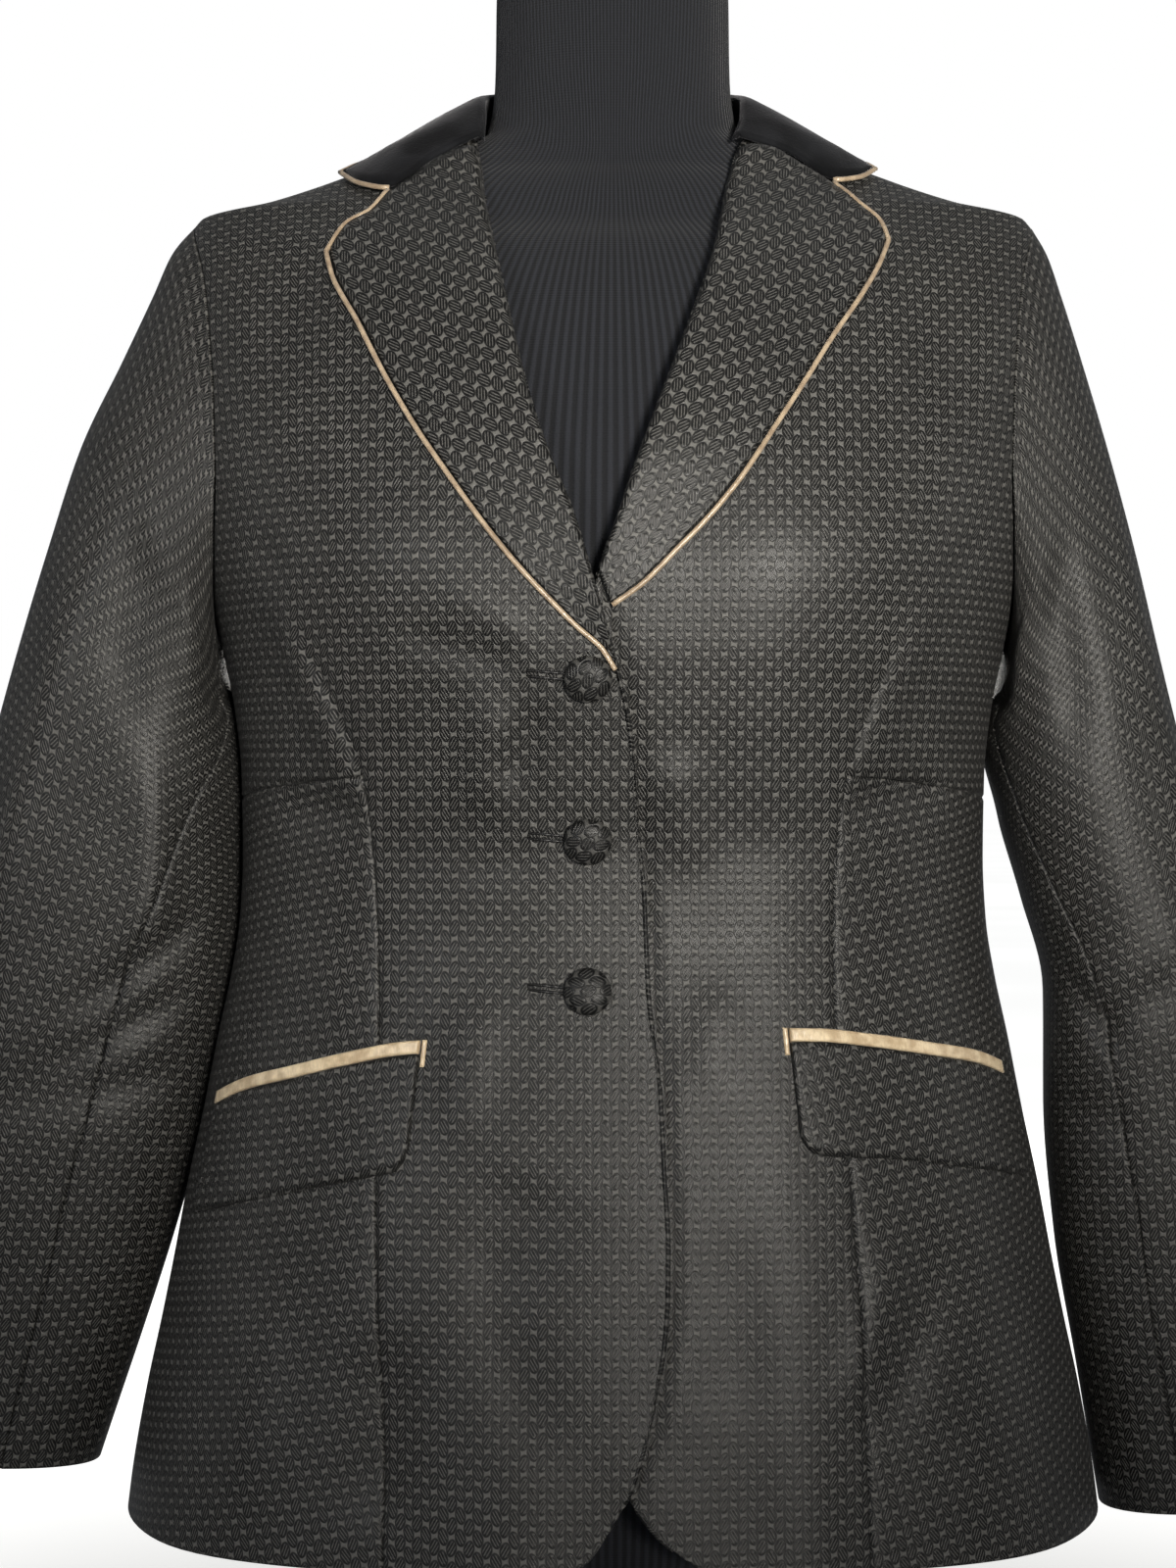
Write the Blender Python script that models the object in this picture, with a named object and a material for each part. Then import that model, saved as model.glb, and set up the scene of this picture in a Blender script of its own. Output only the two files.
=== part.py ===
"""A tailored hunt coat, filled out on a plain limbless dress form with a pole and a round base.

Metres, +Z up, the coat's front towards -Y. The origin is the centre of the base's underside.
The body is one surface of rings. Every panel is a patch of it between two seams, and what
lies on a panel is the same surface moved out. Right and left are those of the front view.
"""

import math

import bpy
import numpy as np

CLOTH = 0.0020  # thickness of a cloth wall
SEAM_GAP = 0.0003  # between two panels at a seam
SLEEVE_SEAM_GAP = 0.0004
LAP_DROP = 0.0029  # how far the under front lies below the over front
LIE = 0.0007  # between a panel and what lies on it
VELVET = 0.0022
NECK_Z = 0.800  # neckline of the back
WELT_HEIGHT = 0.0066
WELT_THICK = 0.0024
FLAP_THICK = 0.0020
PIPING_RADIUS = 0.0012
BUTTON_RADIUS = 0.0105
BUTTON_X = -0.0119
POLE_RADIUS = 0.0125
BASE_RADIUS = 0.145
BASE_THICK = 0.008
BASE_CHAMFER = 0.0015
FORM_BOTTOM = 0.100
NODE_GAP = 0.0003

RING_COLUMNS = ("z", "half_width", "front", "back", "power")
BODY_RINGS = (
    (0.140, 0.2330, 0.157, 0.150, 2.30),
    (0.160, 0.2305, 0.155, 0.147, 2.30),
    (0.200, 0.2235, 0.151, 0.142, 2.30),
    (0.230, 0.2170, 0.148, 0.138, 2.30),
    (0.260, 0.2110, 0.145, 0.134, 2.30),
    (0.295, 0.2045, 0.141, 0.129, 2.30),
    (0.330, 0.1970, 0.136, 0.123, 2.30),
    (0.366, 0.1900, 0.130, 0.115, 2.28),
    (0.394, 0.1840, 0.126, 0.108, 2.26),
    (0.420, 0.1800, 0.123, 0.103, 2.25),
    (0.450, 0.1785, 0.124, 0.101, 2.25),
    (0.490, 0.1790, 0.133, 0.104, 2.25),
    (0.520, 0.1820, 0.141, 0.109, 2.25),
    (0.550, 0.1880, 0.147, 0.114, 2.25),
    (0.580, 0.1950, 0.149, 0.119, 2.28),
    (0.620, 0.2030, 0.144, 0.123, 2.30),
    (0.660, 0.2080, 0.132, 0.123, 2.32),
    (0.700, 0.2105, 0.112, 0.116, 2.34),
    (0.735, 0.2090, 0.086, 0.101, 2.30),
    (0.757, 0.2000, 0.062, 0.083, 2.20),
    (0.764, 0.1720, 0.055, 0.076, 2.15),
    (0.771, 0.1500, 0.050, 0.071, 2.10),
    (0.780, 0.1250, 0.046, 0.066, 2.05),
    (0.788, 0.1020, 0.043, 0.062, 2.00),
    (0.800, 0.0720, 0.040, 0.058, 2.00),
    (0.830, 0.0600, 0.038, 0.052, 2.00),
)
FORM_RINGS = (
    (0.100, 0.1350, 0.082, 0.085, 2.20),
    (0.104, 0.1440, 0.090, 0.093, 2.20),
    (0.115, 0.1520, 0.097, 0.100, 2.20),
    (0.160, 0.1660, 0.110, 0.112, 2.20),
    (0.230, 0.1760, 0.118, 0.118, 2.20),
    (0.300, 0.1750, 0.116, 0.112, 2.20),
    (0.360, 0.1660, 0.108, 0.100, 2.20),
    (0.430, 0.1580, 0.102, 0.088, 2.20),
    (0.470, 0.1600, 0.108, 0.090, 2.20),
    (0.520, 0.1660, 0.122, 0.096, 2.20),
    (0.570, 0.1740, 0.133, 0.103, 2.20),
    (0.620, 0.1820, 0.128, 0.108, 2.20),
    (0.670, 0.1860, 0.112, 0.107, 2.20),
    (0.710, 0.1880, 0.092, 0.098, 2.20),
    (0.735, 0.1860, 0.074, 0.086, 2.20),
    (0.750, 0.1780, 0.058, 0.073, 2.15),
    (0.7645, 0.1600, 0.050, 0.064, 2.10),
    (0.7720, 0.1380, 0.045, 0.058, 2.05),
    (0.7812, 0.1100, 0.038, 0.053, 2.00),
    (0.7890, 0.0820, 0.036, 0.049, 2.00),
    (0.800, 0.0610, 0.037, 0.045, 2.00),
    (0.825, 0.0570, 0.041, 0.043, 2.00),
    (0.875, 0.0560, 0.044, 0.043, 2.00),
    (0.888, 0.0540, 0.042, 0.041, 2.00),
    (0.892, 0.0480, 0.037, 0.036, 2.00),
)

# Soft flutes of the skirt: a ridge where out is above 0 and a trough where it is below.
FLUTE_COLUMNS = ("deg", "width_deg", "out", "top_z")
FLUTES = (
    (-152.0, 10.0, 0.0040, 0.31),
    (-128.0, 10.0, -0.0040, 0.28),
    (-107.0, 9.0, 0.0030, 0.30),
    (-68.0, 7.0, -0.0032, 0.34),
    (-50.0, 8.0, -0.0034, 0.31),
    (-30.0, 10.0, 0.0045, 0.32),
    (32.0, 11.0, -0.0045, 0.32),
    (60.0, 12.0, 0.0055, 0.35),
    (88.0, 10.0, -0.0050, 0.37),
    (117.0, 12.0, 0.0055, 0.34),
    (148.0, 11.0, -0.0045, 0.33),
)
BUST_DEG = 52.0
BUST_Z = 0.582
BUST_OUT = 0.0055
BUST_WIDTH_DEG = 22.0
BUST_HEIGHT = 0.050

EDGE_COLUMNS = ("z", "x")
OVER_EDGE = (
    (0.1680, 0.0004),
    (0.1790, 0.0072),
    (0.1920, 0.0115),
    (0.2050, 0.0155),
    (0.2230, 0.0192),
    (0.2400, 0.0222),
    (0.2620, 0.0238),
    (0.2820, 0.0240),
    (0.3130, 0.0224),
    (0.3530, 0.0205),
    (0.3900, 0.0158),
    (0.4450, 0.0133),
    (0.4690, 0.0106),
    (0.5000, 0.0083),
    (0.5180, 0.0057),
    (0.5310, 0.0026),
    (0.5740, -0.0093),
    (0.6040, -0.0183),
    (0.6320, -0.0295),
    (0.6575, -0.0378),
    (0.7110, -0.0503),
    (0.7510, -0.0586),
    (0.7900, -0.0650),
    (0.8000, -0.0720),
)
UNDER_EDGE = (
    (0.1570, 0.0200),
    (0.1622, 0.0152),
    (0.1738, 0.0063),
    (0.1850, 0.0000),
    (0.2000, -0.0060),
    (0.2200, -0.0130),
    (0.2450, -0.0190),
    (0.2800, -0.0220),
    (0.5200, -0.0220),
    (0.5500, -0.0180),
    (0.5740, -0.0093),
    (0.5950, -0.0021),
    (0.6280, 0.0095),
    (0.6570, 0.0204),
    (0.7020, 0.0368),
    (0.7310, 0.0461),
    (0.7700, 0.0539),
    (0.7900, 0.0610),
    (0.8000, 0.0720),
)
# The rounded cutaway between the front edge and the level hem.
HEM_COLUMNS = ("x", "z")
OVER_HEM = (
    (-0.0600, 0.1400),
    (-0.0400, 0.1402),
    (-0.0250, 0.1420),
    (-0.0127, 0.1478),
    (-0.0030, 0.1614),
    (0.0004, 0.1680),
)
UNDER_HEM = (
    (0.0200, 0.1570),
    (0.0262, 0.1522),
    (0.0351, 0.1464),
    (0.0480, 0.1415),
    (0.0620, 0.1402),
    (0.0800, 0.1400),
)
# The long seam over the bust: sewn up to the bust point, and a plain line of the panel above.
PRINCESS_COLUMNS = ("z", "left_x", "right_x")
PRINCESS = (
    (0.1400, 0.1036, 0.1143),
    (0.2000, 0.1041, 0.1120),
    (0.2600, 0.1051, 0.1080),
    (0.3100, 0.1061, 0.1044),
    (0.3760, 0.1057, 0.0985),
    (0.4180, 0.1066, 0.0980),
    (0.4430, 0.1080, 0.0986),
    (0.4650, 0.1101, 0.1005),
    (0.4850, 0.1129, 0.1035),
    (0.5000, 0.1166, 0.1065),
    (0.5200, 0.1244, 0.1125),
    (0.5370, 0.1320, 0.1185),
    (0.5500, 0.1388, 0.1237),
    (0.5630, 0.1415, 0.1276),
    (0.5800, 0.1425, 0.1306),
    (0.6200, 0.1420, 0.1335),
    (0.7000, 0.1380, 0.1335),
    (0.7570, 0.1320, 0.1310),
    (0.7782, 0.1299, 0.1299),
)
PRINCESS_TOP_Z = 0.7782
# The armhole from the underarm up to the shoulder tip, angles from the side.
ARMHOLE_COLUMNS = ("along", "z", "front_deg", "back_deg")
ARMHOLE = (
    (0.00, 0.5600, 0.0, 0.0),
    (0.10, 0.5625, 7.5, 7.5),
    (0.20, 0.5740, 14.0, 14.0),
    (0.32, 0.5970, 19.5, 20.0),
    (0.45, 0.6300, 22.0, 22.5),
    (0.58, 0.6640, 21.0, 22.0),
    (0.70, 0.6960, 18.0, 20.0),
    (0.80, 0.7200, 14.0, 16.0),
    (0.88, 0.7380, 9.5, 11.5),
    (0.94, 0.7495, 5.0, 7.0),
    (1.00, 0.7570, 0.0, 0.0),
)
# Where the back's inner line runs: under the neck point, angles from the side.
BACK_LINE_COLUMNS = ("z", "deg")
BACK_LINE = (
    (0.140, 46.0),
    (0.430, 46.0),
    (0.560, 47.0),
    (0.700, 50.0),
    (0.757, 50.0),
    (0.785, 36.0),
    (0.795, 20.0),
    (0.800, 0.0),
)

# Heights of the level lines at each key line, and the rows of faces below each.
LEVEL_COLUMNS = ("rows", "edge", "princess", "side", "back")
LEVELS = (
    (0, 0.1400, 0.1400, 0.1400, 0.1400),
    (4, 0.2350, 0.2250, 0.2250, 0.2250),
    (3, 0.3300, 0.3300, 0.3250, 0.3250),
    (3, 0.4250, 0.4250, 0.4200, 0.4250),
    (2, 0.4920, 0.4885, 0.4770, 0.4850),
    (3, 0.5740, 0.5630, 0.5600, 0.5600),
)
DART_ROW = 12
BUST_ROW = 15
TOP_FRACTIONS = (0.10, 0.20, 0.30, 0.40, 0.50, 0.60, 0.69, 0.77, 0.84, 0.90, 0.95, 0.98, 1.0)
FRONT_COLUMNS = (0.0, 0.07, 0.17, 0.31, 0.47, 0.64, 0.82, 1.0)
SIDE_COLUMNS = (0.0, 0.27, 0.54, 0.79, 1.0)
BACK_COLUMNS = (0.0, 0.18, 0.42, 0.7, 1.0)
NECK_COLUMNS = (0.0, 0.33, 0.66, 1.0)

SLEEVE_COLUMNS = (
    "section", "outer_z", "left_outer", "right_outer", "inner_z", "left_inner", "right_inner",
    "y", "half_depth", "left_seam", "right_seam", "back_seam",
)
SLEEVES = (
    (0, 0.757, 0.2005, 0.2005, 0.560, 0.1911, 0.1911, 0.000, 0.0720, 150, 150, 215),
    (1, 0.745, 0.2110, 0.2080, 0.551, 0.1900, 0.1900, 0.000, 0.0710, 152, 152, 218),
    (2, 0.722, 0.2215, 0.2160, 0.541, 0.1890, 0.1885, 0.000, 0.0690, 154, 154, 222),
    (3, 0.690, 0.2365, 0.2260, 0.529, 0.1875, 0.1865, 0.000, 0.0660, 156, 156, 226),
    (4, 0.650, 0.2555, 0.2375, 0.515, 0.1858, 0.1850, -0.001, 0.0620, 160, 160, 230),
    (5, 0.600, 0.2720, 0.2510, 0.495, 0.1840, 0.1845, -0.002, 0.0580, 152, 157, 235),
    (6, 0.545, 0.2885, 0.2640, 0.468, 0.1835, 0.1880, -0.003, 0.0540, 136, 150, 240),
    (7, 0.480, 0.3060, 0.2800, 0.430, 0.1835, 0.1985, -0.003, 0.0500, 121, 139, 245),
    (8, 0.415, 0.3215, 0.2955, 0.385, 0.1890, 0.2095, -0.002, 0.0470, 111, 125, 248),
    (9, 0.345, 0.3340, 0.3085, 0.330, 0.2005, 0.2100, 0.001, 0.0440, 107, 113, 250),
    (10, 0.280, 0.3440, 0.3180, 0.275, 0.2150, 0.2155, 0.005, 0.0410, 104, 107, 250),
    (11, 0.215, 0.3560, 0.3290, 0.215, 0.2330, 0.2275, 0.010, 0.0380, 104, 107, 250),
    (12, 0.160, 0.3680, 0.3430, 0.155, 0.2520, 0.2390, 0.013, 0.0350, 105, 107, 250),
)
RIGHT_CUFF_DROP = 0.022
CUFF_DROP_FROM = 9
SLEEVE_POWER = 2.15
ARMHOLE_GAP = 0.0011
SLEEVE_ROWS = 19
HEAD_REACH = 4.5  # sections over which the armhole's shape fades into the plain sleeve
TOP_FROM = -0.1  # cosine of the turn at which the head's top begins
TOP_BLEND = 0.6
TOP_SLEEVE_COLUMNS = 14
UNDER_SLEEVE_COLUMNS = 8

# A lapel row runs from the roll line out to the lapel's edge.
LAPEL_COLUMNS = ("roll_x", "roll_z", "edge_x", "edge_z")
LEFT_LAPEL = (
    (0.0026, 0.5350, 0.0012, 0.5358),
    (0.0002, 0.5400, -0.0018, 0.5408),
    (-0.0020, 0.5460, -0.0056, 0.5460),
    (-0.0060, 0.5620, -0.0150, 0.5540),
    (-0.0110, 0.5800, -0.0270, 0.5660),
    (-0.0180, 0.6030, -0.0400, 0.5800),
    (-0.0275, 0.6280, -0.0540, 0.5975),
    (-0.0370, 0.6540, -0.0700, 0.6200),
    (-0.0430, 0.6800, -0.0860, 0.6430),
    (-0.0495, 0.7080, -0.1010, 0.6680),
    (-0.0550, 0.7340, -0.1150, 0.6950),
    (-0.0600, 0.7590, -0.1262, 0.7150),
)
RIGHT_LAPEL = (
    (-0.0072, 0.5790, -0.0022, 0.5640),
    (-0.0040, 0.5890, 0.0110, 0.5735),
    (0.0025, 0.6080, 0.0262, 0.5890),
    (0.0105, 0.6310, 0.0400, 0.6035),
    (0.0195, 0.6550, 0.0540, 0.6210),
    (0.0285, 0.6790, 0.0680, 0.6420),
    (0.0370, 0.7020, 0.0825, 0.6640),
    (0.0435, 0.7230, 0.0960, 0.6855),
    (0.0485, 0.7440, 0.1080, 0.7030),
    (0.0525, 0.7650, 0.1190, 0.7215),
)
# The top of each lapel, from the roll line along the gorge and the notch to the tip.
TOP_COLUMNS = ("left_x", "left_z", "right_x", "right_z")
LAPEL_TOP = (
    (-0.0640, 0.7850, 0.0590, 0.7850),
    (-0.0745, 0.7825, 0.0720, 0.7845),
    (-0.0890, 0.7735, 0.0870, 0.7765),
    (-0.1040, 0.7605, 0.1020, 0.7655),
    (-0.1120, 0.7495, 0.1130, 0.7540),
    (-0.1225, 0.7425, 0.1220, 0.7437),
    (-0.1303, 0.7285, 0.1245, 0.7345),
)
LAPEL_ROLL = 0.0022  # how much higher the lapel stands near its roll line
LAPEL_FACES = 6
GORGE_END = 3  # column of the lapel's top at which the collar ends and the piping starts

# The collar's front end, from its edge at the tip back to the crease.
COLLAR_END_COLUMNS = ("left_x", "left_z", "right_x", "right_z")
COLLAR_END = (
    (-0.1275, 0.7750, 0.1225, 0.7765),
    (-0.1180, 0.7668, 0.1140, 0.7703),
    (-0.1043, 0.7628, 0.1025, 0.7680),
    (-0.0846, 0.7786, 0.0820, 0.7822),
    (-0.0645, 0.7896, 0.0600, 0.7896),
)
# The rest of half the collar: its outer edge on the body, its crease, and its seam at the neck.
COLLAR_COLUMNS = ("edge_deg", "edge_z", "crease_x", "crease_y", "crease_z", "seam_x", "seam_y", "seam_z")
COLLAR = (
    (-4.5, 0.7815, 0.0660, -0.0200, 0.8060, 0.0672, -0.0200, 0.8000),
    (6.0, 0.7815, 0.0670, 0.0000, 0.8180, 0.0705, 0.0000, 0.8016),
    (20.0, 0.7800, 0.0615, 0.0225, 0.8245, 0.0645, 0.0235, 0.8016),
    (38.0, 0.7800, 0.0490, 0.0370, 0.8285, 0.0512, 0.0400, 0.8016),
    (60.0, 0.7820, 0.0285, 0.0475, 0.8310, 0.0302, 0.0522, 0.8016),
    (90.0, 0.7840, 0.0000, 0.0520, 0.8320, 0.0000, 0.0576, 0.8016),
)
COLLAR_LIFT = 0.0046
COLLAR_BULGE = 0.0030
STAND_SETBACK = 0.0056
END_SEAM = (0.0048, 0.0022, -0.0030)  # from the crease's front end in, back and down

# Each pocket from its front end to the side, angles from the side of the body.
POCKET_COLUMNS = ("along", "left_deg", "left_top", "left_bottom", "right_deg", "right_top", "right_bottom")
POCKETS = (
    (0.00, 54.3, 0.3713, 0.3240, 57.5, 0.3768, 0.3290),
    (0.10, 52.6, 0.3709, 0.3138, 55.8, 0.3767, 0.3222),
    (0.20, 49.5, 0.3697, 0.3112, 52.0, 0.3763, 0.3198),
    (0.40, 42.0, 0.3648, 0.3060, 43.0, 0.3730, 0.3178),
    (0.60, 33.0, 0.3576, 0.2988, 33.0, 0.3679, 0.3125),
    (0.80, 25.0, 0.3510, 0.2922, 25.0, 0.3632, 0.3080),
    (1.00, 16.5, 0.3412, 0.2850, 17.5, 0.3558, 0.3030),
)
POCKET_FACES = 10
POCKET_CROWDING = 1.25  # above 1, the faces are shorter at the front end

# Each button's height on the front edge, and how far its back stands off the surface.
BUTTON_COLUMNS = ("z", "lie")
BUTTONS = (
    (0.5312, 0.0002),
    (0.4600, 0.0009),
    (0.3930, 0.0005),
)
BUTTON_PROFILE_COLUMNS = ("radius", "height")
BUTTON_PROFILE = (
    (0.0062, 0.0000),
    (0.0096, 0.0010),
    (0.0105, 0.0026),
    (0.0098, 0.0044),
    (0.0076, 0.0059),
    (0.0042, 0.0068),
)
BUTTON_SIDES = 20
FORM_SIDES = 30
POLE_SIDES = 20
BASE_SIDES = 48
TUBE_SIDES = 6


def clear_scene():
    for old in list(bpy.data.objects):
        bpy.data.objects.remove(old, do_unlink=True)


def steady_slopes(at, values):
    """Slopes at the table's rows that keep the curve from overshooting."""
    step = np.diff(at)
    rise = np.diff(values) / step
    slopes = np.zeros(len(at))
    for i in range(1, len(at) - 1):
        if rise[i - 1] * rise[i] > 0:
            first = 2 * step[i] + step[i - 1]
            second = step[i] + 2 * step[i - 1]
            slopes[i] = (first + second) / (first / rise[i - 1] + second / rise[i])
    slopes[0] = rise[0]
    slopes[-1] = rise[-1]
    return slopes


def curve_of(table, columns, name, key=None):
    """A smooth function of the table's first column, or of key."""
    at = np.array([row[columns.index(key or columns[0])] for row in table])
    values = np.array([row[columns.index(name)] for row in table])
    slopes = steady_slopes(at, values)
    steps = np.diff(at)

    def curve(x):
        x = np.clip(x, at[0], at[-1])
        k = np.clip(np.searchsorted(at, x, side="right") - 1, 0, len(at) - 2)
        t = (x - at[k]) / steps[k]
        start = (1 + 2 * t) * (1 - t) ** 2 * values[k] + t * (1 - t) ** 2 * steps[k] * slopes[k]
        end = t * t * (3 - 2 * t) * values[k + 1] + t * t * (t - 1) * steps[k] * slopes[k + 1]
        return start + end

    return curve


def ring_curves(rings):
    return {name: curve_of(rings, RING_COLUMNS, name) for name in RING_COLUMNS[1:]}


BODY = ring_curves(BODY_RINGS)
FORM = ring_curves(FORM_RINGS)


def smooth(t):
    t = np.clip(t, 0.0, 1.0)
    return t * t * (3 - 2 * t)


def ring_radius(curves, angle, z):
    depth = np.where(np.sin(angle) < 0, curves["front"](z), curves["back"](z))
    power = curves["power"](z)
    side = np.abs(np.cos(angle) / curves["half_width"](z)) ** power
    face = np.abs(np.sin(angle) / depth) ** power
    return (side + face) ** (-1 / power)


def angle_between(a, b):
    return (np.degrees(a) - b + 180.0) % 360.0 - 180.0


def shaping(angle, z):
    """The bust and the skirt's flutes, as a distance out from the plain rings."""
    out = np.zeros(np.broadcast(angle, z).shape)
    hem = BODY_RINGS[0][0]
    for deg, width, depth, top in FLUTES:
        fade = smooth((top - z) / (top - hem))
        out = out + depth * fade * np.exp(-((angle_between(angle, deg) / width) ** 2))
    for deg in (-BUST_DEG, BUST_DEG - 180.0):
        near = (angle_between(angle, deg) / BUST_WIDTH_DEG) ** 2 + ((z - BUST_Z) / BUST_HEIGHT) ** 2
        out = out + BUST_OUT * np.exp(-near)
    return out


def body_point(angle, z):
    radius = ring_radius(BODY, angle, z) + shaping(angle, z)
    return np.stack([radius * np.cos(angle), radius * np.sin(angle), z + 0 * radius], axis=-1)


def body_normal(angle, z):
    step = 1e-3
    around = body_point(angle + step, z) - body_point(angle - step, z)
    low = np.maximum(z - step, BODY_RINGS[0][0])
    high = np.minimum(z + step, BODY_RINGS[-1][0])
    upward = body_point(angle, high) - body_point(angle, low)
    normal = np.cross(around, upward)
    return normal / np.linalg.norm(normal, axis=-1, keepdims=True)


def lay(angle, z, out):
    """The body's surface moved out along its normal."""
    return body_point(angle, z) + body_normal(angle, z) * np.asarray(out)[..., None]


def front_angle(x, z):
    """The angle on the front of ring z at which the ring is at x."""
    share = np.clip(np.abs(x) / BODY["half_width"](z), 0.0, 1.0)
    power = BODY["power"](z)
    y = -BODY["front"](z) * (1 - share**power) ** (1 / power)
    return np.arctan2(y, x)


def lap_drop(x, z):
    """How far the right front lies below the surface, where the left one laps over it."""
    return LAP_DROP * smooth((0.080 - x) / 0.050) * smooth((0.650 - z) / 0.060)


def unit(v):
    return v / np.maximum(np.linalg.norm(v, axis=-1, keepdims=True), 1e-12)


def grid_normals(points):
    """Normals of a grid of points, by differences along its two directions."""
    return unit(np.cross(np.gradient(points, axis=0), np.gradient(points, axis=1)))


def material(name, colour, roughness, sheen=0.0):
    made = bpy.data.materials.new(name)
    made.use_nodes = True
    shader = made.node_tree.nodes["Principled BSDF"]
    shader.inputs["Base Color"].default_value = (*colour, 1.0)
    shader.inputs["Roughness"].default_value = roughness
    shader.inputs["Sheen Weight"].default_value = sheen
    made.diffuse_color = (*colour, 1.0)
    return made


def add_mesh(name, verts, faces, made_of, smooth_faces=True):
    mesh = bpy.data.meshes.new(name)
    mesh.from_pydata([tuple(map(float, v)) for v in verts], [], faces)
    mesh.update()
    for face in mesh.polygons:
        face.use_smooth = smooth_faces
    obj = bpy.data.objects.new(name, mesh)
    obj.data.materials.append(made_of)
    bpy.context.scene.collection.objects.link(obj)
    return obj


def corner_groups(cells, cuts):
    """Joins the corners of neighbouring cells, but not across a cut edge."""
    parent = {}

    def root(item):
        while parent[item] != item:
            item = parent[item]
        return item

    for cell in cells:
        i, j = cell
        for corner in ((i, j), (i + 1, j), (i + 1, j + 1), (i, j + 1)):
            parent[(cell, corner)] = (cell, corner)
    for i, j in cells:
        far = (i + 1, j + 1)
        for other in ((i + 1, j), (i, j + 1)):
            ends = (other, far)
            if other in cells and ends not in cuts:
                for corner in ends:
                    parent[root(((i, j), corner))] = root((other, corner))
    return {item: root(item) for item in parent}


def cloth(name, outer, inner, cells, made_of, cuts=(), gap=SEAM_GAP):
    """A closed wall between two grids of points, over the cells listed and drawn in at its rim."""
    cells = set(cells)
    groups = corner_groups(cells, set(cuts))
    edges = []
    for i, j in sorted(cells):
        sides = (
            ((i, j), (i + 1, j), (0, 1), (i, j - 1)),
            ((i + 1, j), (i + 1, j + 1), (-1, 0), (i + 1, j)),
            ((i + 1, j + 1), (i, j + 1), (0, -1), (i, j + 1)),
            ((i, j + 1), (i, j), (1, 0), (i - 1, j)),
        )
        for start, end, inward, other in sides:
            ends = tuple(sorted((start, end)))
            if other not in cells or ends in cuts:
                edges.append(((i, j), start, end, inward))
    pulls = {}
    for cell, start, end, inward in edges:
        for corner in (start, end):
            pulls.setdefault(groups[(cell, corner)], set()).add(inward)
    last_i = outer.shape[0] - 1
    last_j = outer.shape[1] - 1
    numbers = {}
    verts_out = []
    verts_in = []
    for item in sorted(set(groups.values())):
        i, j = item[1]
        shift = np.zeros(3)
        for di, dj in pulls.get(item, ()):
            toward = outer[i + di, j + dj] - outer[i, j]
            before = outer[max(i - abs(dj), 0), max(j - abs(di), 0)]
            after = outer[min(i + abs(dj), last_i), min(j + abs(di), last_j)]
            along = unit(after - before)
            shift = shift + unit(toward - along * (toward @ along)) * gap / 2
        numbers[item] = len(verts_out)
        verts_out.append(outer[i, j] + shift)
        verts_in.append(inner[i, j] + shift)
    count = len(verts_out)
    faces = []
    for i, j in sorted(cells):
        corners = ((i, j), (i + 1, j), (i + 1, j + 1), (i, j + 1))
        a, b, c, d = (numbers[groups[((i, j), corner)]] for corner in corners)
        first = np.linalg.norm(verts_out[a] - verts_out[c])
        second = np.linalg.norm(verts_out[b] - verts_out[d])
        straight = first <= second
        for corner in ((a, b, c), (a, c, d)) if straight else ((a, b, d), (b, c, d)):
            faces.append(corner)
            faces.append(tuple(count + n for n in reversed(corner)))
    for cell, start, end, _ in edges:
        a = numbers[groups[(cell, start)]]
        b = numbers[groups[(cell, end)]]
        # Both pieces at a seam split the rim the same way, so that they stay apart.
        if start[::-1] < end[::-1]:
            faces.extend(((b, a, count + b), (a, count + a, count + b)))
        else:
            faces.extend(((b, a, count + a), (b, count + a, count + b)))
    return add_mesh(name, verts_out + verts_in, faces, made_of)


def all_cells(shape):
    return [(i, j) for i in range(shape[0] - 1) for j in range(shape[1] - 1)]


def level_heights(name):
    """Heights of every row up to the bust, at one key line."""
    column = LEVEL_COLUMNS.index(name)
    heights = [LEVELS[0][column]]
    for row in LEVELS[1:]:
        start = heights[-1]
        steps = row[0]
        end = row[column]
        heights.extend(start + (end - start) * k / steps for k in range(1, steps + 1))
    return heights


def line_heights(name, top):
    heights = level_heights(name)
    last = heights[-1]
    return np.array(heights + [last + (top - last) * share for share in TOP_FRACTIONS])


def armhole_line(back):
    """(angle from the side, height) of every row at the side line, which opens into the armhole."""
    heights = level_heights("side")
    z_curve = curve_of(ARMHOLE, ARMHOLE_COLUMNS, "z")
    deg_curve = curve_of(ARMHOLE, ARMHOLE_COLUMNS, "back_deg" if back else "front_deg")
    along = np.array(TOP_FRACTIONS)
    z = np.array(heights + list(z_curve(along)))
    deg = np.array([0.0] * len(heights) + list(deg_curve(along)))
    return np.radians(deg), z


def raised(z, foot_z, top):
    """A column's heights with its foot moved to foot_z, fading out at the height top."""
    share = np.clip((top - z) / (top - z[0]), 0.0, 1.0)
    return z + (foot_z - z[0]) * share


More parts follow.
